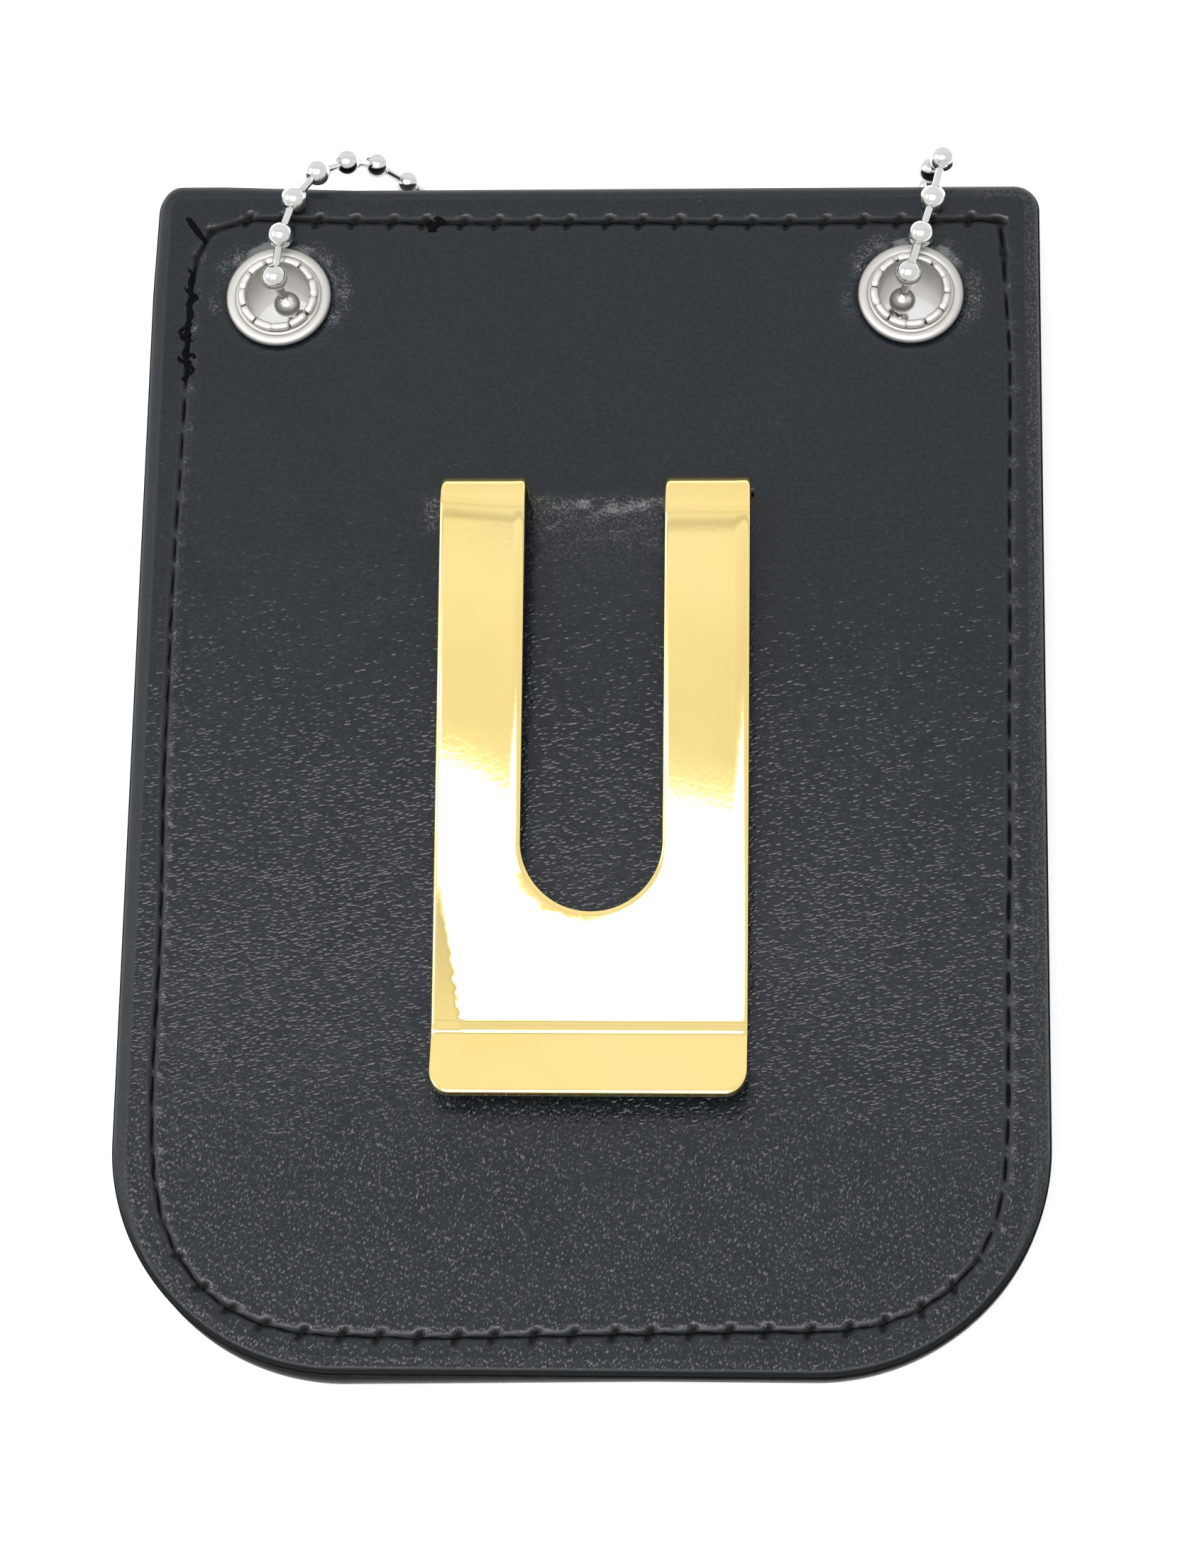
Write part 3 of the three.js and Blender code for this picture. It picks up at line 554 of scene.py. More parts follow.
def back_relief(p):
    edge = inset_of(OUTER, p)
    inner = ramp(edge, EDGE_RADIUS, 3)
    z = sewn(p, 3) + 0.02 * tumble(p, 22, 5) * inner + 0.005 * tumble(p, 6, 6) * inner
    z += 0.03 * dip(edge - 1.45, 0.2)
    z += 0.20 * puffed(p) - 0.34 * dip(eyelet_gap(p), 0.6, 4.6)
    across, legs, below, lip = under_clip(p)
    z += across * (0.06 + 0.20 * legs) * lip * (1 + 0.35 * tumble(p, 2.2, 9))
    z -= across * legs * 0.08 * dip(below + 0.12 * tumble(p, 1.4, 11), 0.3)
    # The face is a shallow dish, deepest below the clip's slot
    hollow = dip(p[:, 1] + 24, np.where(p[:, 1] > -24, 25, 16)) * np.cos(np.clip(p[:, 0] / 40, -1, 1) * pi / 2)
    return z - inner * 0.7 * hollow


def lowness(y):
    """0 along the straight sides, and 1 at the bottom, where the edge faces the camera."""
    return ramp(-y, 34, 12)


def back_marks(p):
    """Shares of painted glint with raised wrinkles, of painted shade, and of smoothness on the back's leather."""
    edge = inset_of(OUTER, p)
    glint_and_wrinkle, hollow, smooth = sewn_marks(p, 3)
    _, legs, below, _ = under_clip(p)
    # Painted glints below the slit between the legs, on the pucker left of the clip, round the washers and along the
    # right-hand edge
    pressed = legs * ramp(below, 0, 0.5) * np.exp(-np.maximum(below, 0) / 3.2)
    beside = dip(p[:, 0] + 13.9, 0.7) * dip(p[:, 1] - 22.5, 1.0, 0.8)
    low = lowness(p[:, 1])
    rim = 0.3 * ramp(edge, 1.5, -0.25) * ramp(p[:, 0], 30, 6) * (1 - low)
    glint_and_wrinkle = np.maximum.reduce([glint_and_wrinkle, 0.6 * pressed, 0.8 * np.clip(puffed(p), 0, 1), 0.6 * beside, rim])
    # Painted shade on the bottom rounding, where it faces the camera
    hollow = np.maximum(hollow, 0.9 * low * ramp(edge, 0.5, -0.15))
    smooth = np.maximum(smooth, ramp(edge, 1.5 - 0.8 * low, -0.25) * 0.85)
    return np.column_stack([np.clip(glint_and_wrinkle, 0, 1), np.clip(hollow, 0, 1), smooth])


def front_relief(p):
    edge = inset_of(OUTER, p)
    z = sewn(p, 13) + 0.05 * tumble(p, 18, 15) * ramp(edge, EDGE_RADIUS, 3)
    z += 0.04 * dip(edge - 1.45, 0.22)
    r = eyelet_gap(p)
    return z - 0.15 * dip(r, 0.8, 4.6) + 0.12 * dip(r - 7.0, 1.3)


def front_marks(p):
    # Painted glints on the puckers and painted shade in the stitch holes and slits, as on the back
    glint_and_wrinkle, hollow, smooth = sewn_marks(p, 13)
    smooth = np.maximum(smooth, ramp(inset_of(OUTER, p), 1.5, -0.25) * 0.85)
    return np.column_stack([np.clip(0.6 * glint_and_wrinkle, 0, 1), np.clip(hollow, 0, 1), smooth])


def polar(radii, count):
    """Points on circles round both eyelets."""
    return np.vstack([
        circle((side * EYELET_X, EYELET_Y), r, turns(count) + r) for side in (-1, 1) for r in radii
    ])


def grid(step, x, y):
    xs, ys = np.meshgrid(np.arange(x[0], x[1], step[0]), np.arange(y[0], y[1], step[1]))
    xs[::2] += step[0] / 2
    return np.column_stack([xs.ravel(), ys.ravel()])


def slit_loop(x0, x1):
    middle, half, lip = (x0 + x1) / 2, (x1 - x0) / 2, 0.55
    turn = np.radians(np.arange(0, 360, 6))
    c, s = np.cos(turn), np.sin(turn)
    return np.column_stack([
        middle + half * np.sign(c) * np.abs(c) ** 0.5, SLIT_Y + lip * np.sign(s) * np.abs(s) ** 0.7,
    ])


def panel(name, node, relief, marking, face_z, out, seam_z):
    """One leather leaf: a turned edge, a face with the sewn row, eyelet holes, and the clip's slits or a window."""
    is_back = out > 0
    shell = Shell()
    step = 0.26
    face = lambda p: face_z + out * relief(p)
    deep = 0.42 if is_back else 0.1
    rim = [(1.0, face_z - out), (1.0, seam_z + out * 0.1), (0.5 + deep, seam_z), (0.2 + deep, seam_z + out * 0.2),
           (deep, seam_z + out * 0.5), (deep * 0.3, seam_z + out * 0.75), (0.0, seam_z + out * 0.9)]
    rings = [shell.level(rounded(OUTER, inset, step), z) for inset, z in rim]
    rings += [shell.ring(rounding(turn, step, face_z, out)) for turn in ARCH]
    start, end = rounding(90, step, face_z, out)[:, :2], rounded(OUTER, 1.4, step)
    field = 6.2
    insets = [1.4, 1.52, 1.7, 1.95, 2.2, *np.arange(2.4, 5.6, 0.16), 5.7, 5.95, field]
    flats = [start + (end - start) * share for share in (0.15, 0.5)]
    flats += [rounded(OUTER, inset, step) for inset in insets]
    rings += [shell.level(p, face(p)) for p in flats]
    shell.skin(rings)

    bores = [arc((side * EYELET_X, EYELET_Y), BORE, 0, 360, 72) for side in (-1, 1)]
    walls = [shell.level(p, face(p)) for p in bores]
    loops = [rings[-1], *walls]
    holes = [lambda c: eyelet_gap(c) < BORE]
    coarse = grid((0.62, 0.54), (-34, 34), (-48, 48))
    keep = (inset_of(OUTER, coarse) > field + 0.3) & (eyelet_gap(coarse) > 9.2)
    near = polar(np.arange(3.65, 9.0, 0.36), 84)
    good = inset_of(OUTER, near) > field + 0.2
    if is_back:
        slits = [slit_loop(*ends) for ends in SLITS]
        walls += [shell.level(p, face(p) - 0.1) for p in slits]
        loops += walls[2:]
        holes += [lambda c, loop=loop: within(c, loop) for loop in slits]
        keep &= ~((np.abs(coarse[:, 0] - 0.5) < 16.2) & (np.abs(coarse[:, 1] - SLIT_Y) < 2.1))
        fine = grid((0.22, 0.16), (-15.5, 16.5), (22.4, 26.0))
        for x0, x1 in SLITS:
            fine = fine[~((np.abs(fine[:, 1] - SLIT_Y) < 0.7) & (fine[:, 0] > x0 - 0.3) & (fine[:, 0] < x1 + 0.3))]
    else:
        ease = 0.8
        window = []
        for a in map(radians, ARCH):
            p = rounded(WINDOW, -ease * (1 - sin(a)), 0.5)
            window.append(shell.level(p, face_z - out * ease * (1 - cos(a))))
        window.append(shell.level(rounded(WINDOW, 0, 0.5), 0.3))
        shell.skin(window)
        loops.append(window[0])
        holes.append(lambda c: inset_of(WINDOW, c) > -ease)
        keep &= inset_of(WINDOW, coarse) < -1.2
        good &= inset_of(WINDOW, near) < -1.1
        fine = np.empty((0, 2))
    whole = lambda c: ~np.any([hole(c) for hole in holes], axis=0)
    extra = np.vstack([coarse[keep], near[good], fine])
    fill(shell, loops, extra, lambda c: (inset_of(OUTER, c) > field - 0.02) & whole(c), face)

    lining = []
    for wall in walls:
        lining.append(shell.level([shell.points[i][:2] for i in wall], face_z - out))
        shell.skin([lining[-1], wall])
    if is_back:
        fill(shell, [rings[0], *lining], [], whole, face, flip=True)
    points = np.array(shell.points)
    marks = marking(points[:, :2])
    depth = np.abs(points[:, 2] - face_z)
    marks[:, :2] *= (depth < 0.9)[:, None]
    # Painted shade on the leaves' side walls about the seam groove, and pale flecks of painted light on the front
    # leaf's edge below it, as the white floor would throw up
    outside = inset_of(OUTER, points[:, :2]) < 1.2
    if is_back:
        marks[:, 1] = np.maximum(marks[:, 1], 0.95 * ramp(depth, 1.0, 0.3) * outside)
    else:
        marks[:, 1] = np.maximum(marks[:, 1], 0.9 * ramp(depth, 1.5, 0.7) * outside)
        marks[:, 0] = np.maximum(marks[:, 0], 0.8 * ramp(depth, 2.0, -0.5) * (depth > 0.45) * outside)
        points = slid(points)
        shell.faces = [f[::-1] for f in shell.faces]
    shell.points = drawn_up(points)
    piece = make(name, shell, cover, angle=75, marks=marks)
    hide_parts(node)
    if is_back:
        painted_edge(seam_z, step)


def rounding(turn, step, face_z, out, swell=0.0):
    """One ring of a leaf's rounded edge, from its side at 0 degrees to its face at 90. The back's is tight below."""
    side, face = rounded(OUTER, 0, step), rounded(OUTER, EDGE_RADIUS, step)
    radius = EDGE_RADIUS - (0.7 if out > 0 else 0.0) * lowness(side[:, 1])
    turn = radians(turn)
    share = (radius - (radius + swell) * cos(turn)) / EDGE_RADIUS
    z = face_z - out * (radius - (radius + swell) * sin(turn))
    return np.column_stack([side + (face - side) * share[:, None], z])


def drawn_up(points):
    """The outline at the top left corner, a little off the straight."""
    p = np.array(points)
    high, left = ramp(p[:, 1], 51.2, 2.5), ramp(-p[:, 0], 22, 12)
    p[:, 0] += 0.22 * ramp(p[:, 1], 44, 8) * ramp(-p[:, 0], 37.5, 2)
    p[:, 1] += 0.42 * high * left
    return p


def slid(points):
    """The front leaf sits a little further up than the back leaf at its lower right."""
    p = np.array(points)
    p[:, 1] += 0.42 * ramp(p[:, 0], -20, 26) * ramp(-p[:, 1], 30, 20)
    return p


def painted_edge(seam_z, step):
    """The matt paint on the back leaf's edge, from its seam up to its rounding."""
    outline = [rounding(turn, step, BACK_Z, 1, 0.02) for turn in range(28, -1, -7)]
    outline += [at_height(rounded(OUTER, inset, step), seam_z + rise)
                for inset, rise in ((-0.02, 0.9), (0.1, 0.6), (0.4, 0.3))]
    inward = rounded(OUTER, 0.25, step) - rounded(OUTER, 0, step)
    outline += [at_height(xyz[:, :2] + inward, xyz[:, 2] - 0.1) for xyz in outline[::-1]]
    shell = Shell()
    shell.skin([shell.ring(xyz) for xyz in outline], closed=True, inward=True)
    shell.points = drawn_up(shell.points)
    make("back_leather_edge", shell, paint, angle=50)


# Stitches

def strand(shell, path, radius):
    """A two-ply thread along a path, with its ends drawn to points."""
    path = np.asarray(path, float)
    last, twist, groove = len(path) - 1, 0.9, 0.18
    rings = []
    for i, p in enumerate(path):
        _, angle, spokes = around(path[min(i + 1, last)] - path[max(i - 1, 0)], (0.1, 0.2, 1.0), 8)
        size = radius * (0.45 if i in (0, last) else 1) * (1 - groove + groove * np.abs(np.cos(angle - twist * i)))
        rings.append(shell.ring(p + size[:, None] * spokes))
    shell.skin(rings, capped=True)


def stitches(name, face_z, out):
    shell = Shell()
    share = np.linspace(0, 1, 13)
    for a, b in zip(HOLES, following(HOLES)):
        ahead = (b - a) / np.hypot(*(b - a))
        slot = slotted(a, ahead)
        trim = np.array([0.02 + (0.12 + draw.uniform(-0.04, 0.05)) * slot for _ in range(2)])
        aside = np.array((-ahead[1], ahead[0]))
        bow = np.sin(share * 2 * pi) * draw.uniform(0.05, 0.15) * (1 - slot) + draw.uniform(-0.06, 0.06) * slot
        flat = a + (b - a) * (trim[0] + (1 - trim.sum()) * share[:, None]) + bow[:, None] * aside
        depth = -0.62 + (0.38 + draw.uniform(-0.05, 0.05)) * np.sin(share * pi) ** 0.5
        strand(shell, np.column_stack([flat, face_z + out * depth]), 0.115 + 0.035 * slot)
    if out > 0:
        loose_threads(shell, face_z)
    else:
        shell.points = slid(shell.points)
    make(name, shell, thread, angle=80)


def loose_threads(shell, z):
    """The back tack at the left, a knot on the top row and a crossed stitch at the corner."""
    tack = [(-36.3, 45.6), (-36.55, 44.6), (-36.25, 43.6), (-36.6, 42.7), (-36.2, 41.5), (-36.8, 40.3), (-36.2, 39.1),
            (-36.8, 37.9), (-36.3, 36.7), (-36.6, 35.6)]
    for shift in (-0.45, 0.0, 0.4):
        run = [(x + shift * (1 if i % 2 else -1), y + shift, z - 0.16 + 0.12 * sin(i * 2 + shift * 5))
               for i, (x, y) in enumerate(tack)]
        strand(shell, refine(run, 5), 0.21)
    for x, y, size in ((-14.4, 50.2, 0.62), (-36.8, 37.4, 0.38), (-36.2, 37.3, 0.38), (-36.7, 39.5, 0.34)):
        loop = [(x + size * cos(a) * 1.1, y + size * sin(a), z - 0.1 + 0.16 * sin(2 * a))
                for a in np.linspace(0, 5.6, 9)]
        strand(shell, refine(loop, 4), 0.2)
    for ends in (((-15.1, 49.5), (-14.4, 50.1), (-13.6, 50.7)), ((-37.1, 51.1), (-36.3, 50.0), (-35.3, 48.6))):
        strand(shell, refine([(*end, z - depth) for end, depth in zip(ends, (0.2, 0.02, 0.2))], 5), 0.32)


def refine(points, steps):
    """A smooth run through points."""
    p = np.asarray(points, float)
    p = np.vstack([2 * p[0] - p[1], p, 2 * p[-1] - p[-2]])
    out = []
    for a, b, c, d in zip(p, p[1:], p[2:], p[3:]):
        for t in np.arange(steps) / steps:
            out.append(0.5 * (2 * b + (c - a) * t + (2 * a - 5 * b + 4 * c - d) * t * t
                              + (3 * b - a - 3 * c + d) * t ** 3))
    return np.array([*out, p[-2]])


# Eyelets and washers

def eyelet(label, side):
    centre = (side * EYELET_X, EYELET_Y)
    shell = Shell()
    lathe(shell, [
        (2.8, -2.8), (2.83, -3.05), (2.93, -3.2), (3.1, -3.28), (3.5, -3.3), (4.05, -3.3), (4.28, -3.25), (4.43, -3.12),
        (4.5, -2.9), (4.48, -2.65), (4.35, -2.5), (3.12, -2.48), (3.1, -2.3), (3.1, 4.3), (3.04, 4.62), (2.95, 4.78),
        (2.86, 4.7), (2.8, 4.45),
    ], 64, centre)
    section = np.array([
        (2.86, 4.4), (2.85, 4.78), (2.90, 5.02), (3.02, 5.15), (3.20, 5.19), (3.40, 5.17), (3.55, 5.08), (3.63, 4.93),
        (3.64, 4.74), (3.56, 4.60), (3.40, 4.60), (3.12, 4.5),
    ])
    core = np.array((3.26, 4.72))
    for k in range(12):
        middle = radians(30 * k + 8 + draw.uniform(-2.2, 2.2))
        half = radians(15 - draw.uniform(0.5, 1.3))
        reach = draw.uniform(-0.07, 0.05)
        rings = []
        for t in np.linspace(-1, 1, 9):
            pinch = 1 - 0.3 * max(0.0, (abs(t) - 0.76) / 0.24) ** 2
            loop = core + (section - core) * pinch
            loop[:, 0] += reach * (loop[:, 0] > 3.1)
            a = middle + half * t
            rings.append(shell.level(circle(centre, loop[:, 0], a), loop[:, 1]))
        shell.skin(rings)
        shell.faces += [tuple(rings[0]), tuple(reversed(rings[-1]))]
    piece = make(f"eyelet_{label}_rolled", shell, nickel, angle=50)
    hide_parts(f"eyelet_{label}")
    ring = Shell()
    lathe(ring, [
        (3.3, 3.84), (3.3, 4.36), (3.42, 4.46), (3.66, 4.49), (3.78, 4.46), (3.83, 4.41), (3.88, 4.45), (4.0, 4.48),
        (4.3, 4.47), (4.5, 4.42), (4.63, 4.32), (4.71, 4.18), (4.73, 4.0), (4.66, 3.84),
    ], 96, centre)
    washer = make(f"washer_{label}_domed", ring, rubbed)
    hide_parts(f"washer_{label}")


# Spring clip: one sheet, drawn flat as (across, along, through) and then bent

def clip_line():
    """The sheet's middle from the tip of the lip, up the legs, over the bend and down to the anchor's end.
    Gives the points, and the numbers of the ones where the lip's bend, the legs and the riser begin."""
    over_at, over_radius, over_turn = (21.1, 7.0), 3.1, 94.0
    slope, flare, ease = radians(6.3), radians(18), radians(2.3)
    over = arc(over_at, over_radius, over_turn, -over_turn, 48, True)
    radius = 1.3 / ease
    start = over[0] - radius * np.array((cos(radians(over_turn)), sin(radians(over_turn))))
    lead = arc(start, radius, 96.3, -2.3, 14)
    run = (lead[0, 0] + 23.75) / cos(slope)
    foot = lead[0] - run * np.array((cos(slope), sin(slope)))
    legs = foot + (lead[0] - foot) * np.linspace(0, 1, 60)[:-1, None]
    # The lip's bend is pressed: it turns, runs level for a moment, and turns again
    s = np.arange(0.025, 1.75, 0.025)
    tilt = np.radians(np.interp(
        s, [0, 0.2, 0.90, 1.04, 1.18, 1.30, 1.44, 1.56, 1.7], [0, 3, 11, 0.9, 0.9, 4.3, 4.7, 22, 24.3]))
    steps = 0.025 * np.column_stack([-np.cos(tilt - slope), np.sin(tilt - slope)])
    pressed = foot + np.cumsum(steps, axis=0)
    tip = pressed[-1] + 5.45 * np.array((-cos(flare), sin(flare)))
    root = arc((23.4, 3.3), 0.8, 0, -90, 14, True)
    line = np.vstack([[tip], pressed[::-1], legs, lead, over, root, [(-14.0, 2.5)]])
    at_lip = len(pressed) + 1
    at_lead = at_lip + len(legs)
    return line, at_lip, at_lead, at_lead + len(lead) + len(over) - 1


def within(p, loop):
    """Even-odd test of points against a closed loop."""
    inside = np.zeros(len(p), bool)
    for (x0, y0), (x1, y1) in zip(loop, following(loop)):
        if y0 == y1:
            continue
        crosses = (y0 > p[:, 1]) != (y1 > p[:, 1])
        inside ^= crosses & (p[:, 0] < (x1 - x0) * (p[:, 1] - y0) / (y1 - y0) + x0)
    return inside


def clip():
    line, at_lip, at_lead, at_riser = clip_line()
    v = lengths(line)
    fine = np.arange(0, v[-1], 0.05)
    y, z = np.interp(fine, v, line[:, 0]), np.interp(fine, v, line[:, 1])
    soft = np.hanning(5) / np.hanning(5).sum()
    ty, tz = (np.convolve(np.pad(np.gradient(c), 2, "edge"), soft, "valid") for c in (y, z))
    size = np.hypot(ty, tz)
    ty, tz = ty / size, tz / size
    # Places along the sheet: the lip's bend, the bend at the top, the riser, the slot's two ends, the anchor's bar
    v_lip, v_bend, v_riser = v[at_lip], v[at_lead], v[at_riser]
    v_slot = np.interp(-14.5, line[at_lip:at_lead, 0], v[at_lip:at_lead])
    v_root = v_riser + (7.0 - 3.4)
    v_bar = v[-1] - (24.6 - 8 + 14.0)
    v_end = v[-1]

    left, right = CLIP_X - CLIP_WIDTH / 2, CLIP_X + CLIP_WIDTH / 2
    bends = [(v[1] - 0.1, v_lip + 0.2, 0.05), (v_lip + 0.2, v_lip + 12, 0.4), (v_bend - 0.4, v_riser + 0.4, 0.2),
             (v_root, v[-2] + 0.4, 0.2)]
    rows = [np.arange(2.6, v_end - 6.4, 0.9)]
    for a, b, step in bends:
        rows = [part[(part < a) | (part > b)] for part in rows] + [np.arange(a, b, step)]
    rows = np.sort(np.concatenate(rows))

    def up(x, low, high):
        inner = rows[(rows > low + 0.1) & (rows < high - 0.1)]
        return np.column_stack([np.full(len(inner) + 2, x), [low, *inner, high]])

    half = 5.9
    outer = np.vstack([
        [[left + 1.8 * (1 + cos(a)), 2.3 * (1 + sin(a))] for a in np.radians(np.arange(180, 271, 7.5))],
        [[x, 0.0] for x in np.arange(left + 2.3, right - 2.2, 0.6)],
        [[right - 1.9 * (1 - cos(a)), 2.5 * (1 + sin(a))] for a in np.radians(np.arange(270, 361, 7.5))],
        up(right, 2.8, v_bar - 1.2),
        arc((right - 0.8, v_bar - 0.8), 0.8, 0, 90, 6, True), [[CLIP_X + half + 1.0, v_bar]],
        up(CLIP_X + half, v_bar + 0.6, v_end - half), arc((CLIP_X, v_end - half), half, 0, 180, 24, True)[1:-1],
        up(CLIP_X - half, v_bar + 0.6, v_end - half)[::-1], [[CLIP_X - half - 1.0, v_bar]],
        arc((left + 0.8, v_bar - 0.8), 0.8, 90, 90, 6, True), up(left, 2.6, v_bar - 1.2)[::-1],
    ])
    gap = 6.1
    slot = np.vstack([
        arc((CLIP_X, v_slot + gap), gap, 0, -180, 48, True), up(CLIP_X - gap, v_slot + gap + 0.3, v_root - 0.8),
        arc((CLIP_X - gap + 0.6, v_root - 0.6), 0.6, 180, -90, 6, True),
        [[x, v_root] for x in np.arange(CLIP_X - 5, CLIP_X + 5.1, 1.0)],
        arc((CLIP_X + gap - 0.6, v_root - 0.6), 0.6, 90, -90, 6, True),
        up(CLIP_X + gap, v_slot + gap + 0.3, v_root - 0.8)[::-1],
    ])

    shell = Shell()
    normals = []
    # Points of the rim's section: how far in, how high, and its normal's parts outward and up
    edge = [(0.5 * (1 - sin(a)), HALF_SHEET - 0.2 * (1 - cos(a)), sin(a), 2.2 * cos(a))
            for a in np.radians([0, 12, 26, 42, 60, 78, 90])]
    edge += [(0.12 * (1 - cos(a)), -0.28 - 0.12 * sin(a), cos(a), -sin(a))
             for a in np.radians([0, 30, 60, 90])]
    top, foot = [], []
    for loop in (outer, slot):
        away = to_right(headings(loop))
        rings = []
        for inward, through, flat, raised in edge:
            rings.append(shell.level(loop - away * inward, through))
            normals.extend(at_height(away * flat, raised).tolist())
        shell.skin(rings, inward=True)
        top.append(rings[0])
        foot.append(rings[-1])
    inside = np.array([(x, r) for r in np.concatenate([[0.9, 1.6], rows, np.arange(v_end - 6, v_end - 1, 0.9)])
                       for x in np.concatenate([
                           np.arange(left + 0.6, left + 2.3, 0.21), np.arange(left + 2.6, CLIP_X - gap - 0.6, 0.42),
                           np.arange(CLIP_X - 5.1, CLIP_X + 5.2, 0.85),
                           np.arange(CLIP_X + gap + 0.75, right - 0.6, 0.75)])])
    inside = np.unique(np.round(inside, 4), axis=0)
    closeness = np.minimum(capsules(inside, outer, following(outer)), capsules(inside, slot, following(slot)))
    inside = inside[within(inside, outer) & ~within(inside, slot) & (closeness > 0.72)]
    for rings, level, flip in ((top, HALF_SHEET, False), (foot, -HALF_SHEET, True)):
        before = len(shell.points)
        loops = [np.array([shell.points[i][:2] for i in ring]) for ring in rings]
        chosen = lambda c: within(c, loops[0]) & ~within(c, loops[1])
        fill(shell, rings, inside, chosen, lambda p: level, flip=flip)
        normals.extend([[0, 0, -1 if flip else 1]] * (len(shell.points) - before))

    # The stamped lip: the left leg's rim rolls over toward it, in a band that widens
    p, n = np.array(shell.points), np.array(normals)
    n /= np.linalg.norm(n, axis=1)[:, None]
    at = lambda values: np.interp(p[:, 1], fine, values)
    above = p[:, 1] - v_lip
    ripple = 1 + 0.22 * tumble(p[:, :2], 0.9, 31)
    near_lip = np.clip(1 - above / 15, 0, 1)
    width = 0.4 + 2.5 * near_lip * (0.6 + 0.4 * ripple)
    roll = ramp(p[:, 0] - left, width, -0.7) * ramp(above, -1.4, 1) * (near_lip > 0)
    p[:, 2] -= 0.05 * roll ** 2 * np.clip(1 - (p[:, 0] - left) / width, 0, 1)
    n[:, 0] -= 0.03 * roll * n[:, 2]
    n[:, 1] += (0.035 + 0.06 * near_lip) * roll * n[:, 2]
    # The right-hand rim of each leg is broader than its left-hand rim
    beside = np.where(p[:, 0] > CLIP_X, right - p[:, 0], CLIP_X - gap - p[:, 0])
    rim = ramp(beside, 0.75, -0.25) * (beside > -0.01) * ramp(above, 1, 1)
    n[:, 1] -= 0.017 * rim * n[:, 2]
    # The slot's end is drawn down a little, most at its lower left
    from_end = p[:, :2] - (CLIP_X, v_slot + gap)
    reach = np.hypot(*from_end.T)
    heading = from_end / np.maximum(reach, 0.01)[:, None]
    lean = np.clip(0.30 + 0.70 * (heading @ (-0.64, -0.77)), 0, 1) * (from_end[:, 1] < 1)
    drawn = np.clip(1 - (reach - gap) / (1.7 * ripple), 0, 1) * lean
    p[:, 2] -= 0.04 * drawn ** 2
    n[:, :2] -= 0.055 * (drawn * n[:, 2])[:, None] * heading
    # The left leg is twisted a little
    n[:, 1] += 0.0056 * ramp(p[:, 0] - left, 1, 6.2) * (p[:, 0] < CLIP_X - 3) * n[:, 2]
    n /= np.linalg.norm(n, axis=1)[:, None]
    through = np.column_stack([np.zeros(len(p)), -at(tz), at(ty)])
    shell.points = np.column_stack([p[:, 0], at(y), at(z)]) + p[:, 2:] * through
    # The legs begin to turn into the bend at their own heights
    sooner = np.where(p[:, 0] > CLIP_X, 0.8, 0.45 * (p[:, 0] - left) / 7.4 - 0.1)
    seen = p[:, 1] + sooner * ramp(p[:, 1], v_bend + 3.2, -1.6) * (above > 10)
    ty_seen, tz_seen = np.interp(seen, fine, ty), np.interp(seen, fine, tz)
    along = np.column_stack([np.zeros(len(p)), ty_seen, tz_seen])
    through = np.column_stack([np.zeros(len(p)), -tz_seen, ty_seen])
    shading = n[:, :1] * (1.0, 0, 0) + n[:, 1:2] * along + n[:, 2:] * through
    piece = make("clip_sheet", shell, gold, body=None, normals=shading)
    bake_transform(piece)
    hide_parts("clip_anchor", "clip_tongue")


# Ball chain, one closed loop through both eyelets

RIGHT_BEADS = [(27.7, 43.6, 1.5), (28.2, 44.5, 5.7), (29.3, 48.1, 6.1), (30.4, 51.9, 5.3), (31.3, 55.9, 5.0),
               (30.3, 56.6, 1.1), (30.2, 56.5, -2.8)]
RIGHT_RUN = [(31.2, 53.3), (32.9, 49.8), (35.1, 46.4), (36.4, 42.6), (36.6, 38.4), (36.6, 32), (36.2, 25), (34.2, 18.8),
             (30.2, 14.8)]
LEFT_RUN = [(-21, 1.4), (-23.6, 9), (-28.4, 17), (-33, 24.6), (-35.9, 32.4), (-36.6, 38.6), (-35.6, 43.4),
            (-31.9, 46.6), (-26.6, 47.4), (-20.6, 47), (-15.4, 47), (-12.2, 49.2), (-11.8, 53.0), (-14.4, 56.0)]
LEFT_BEADS = [(-17.8, 57.5, -3.2), (-20.4, 58.1, -0.5), (-22.8, 57.1, 2.5), (-25.2, 55, 4.9), (-27.2, 52.2, 5.3),
              (-28.2, 48.3, 6.1), (-28.65, 44.4, 5.7), (-27.95, 43.5, 1.55)]
COIL_Y, COIL_RADIUS, COIL_STEP, TIE_AT = -6.0, 10.4, 6.0, 300
JOIN_Y, JOIN_Z = 12.9, -4.06


def coil_point(radius, azimuth):
    away = (azimuth - TIE_AT + 180) % 360 - 180
    a = radians(azimuth)
    return radius * cos(a), COIL_Y + radius * sin(a), CHAIN_Z + 0.94 * exp(-((away / 12) ** 2))


def coil_arm(start, sweep):
    return [coil_point(COIL_RADIUS + COIL_STEP * turned / 360, start - turned) for turned in range(0, sweep + 1, 15)]


def coil_middle():
    """The S through the middle of the coil, from the foot of the left arm to the foot of the right arm."""
    bow = COIL_RADIUS / 2
    far, near = (arc((0, COIL_Y), bow, turn, 0, 1)[0] for turn in (60, 240))
    flat = np.vstack([arc(far, bow, 60, 180, 6)[1:], [(0, COIL_Y)], arc(near, bow, 60, -180, 6)[1:]])
    return at_height(flat, CHAIN_Z).tolist()


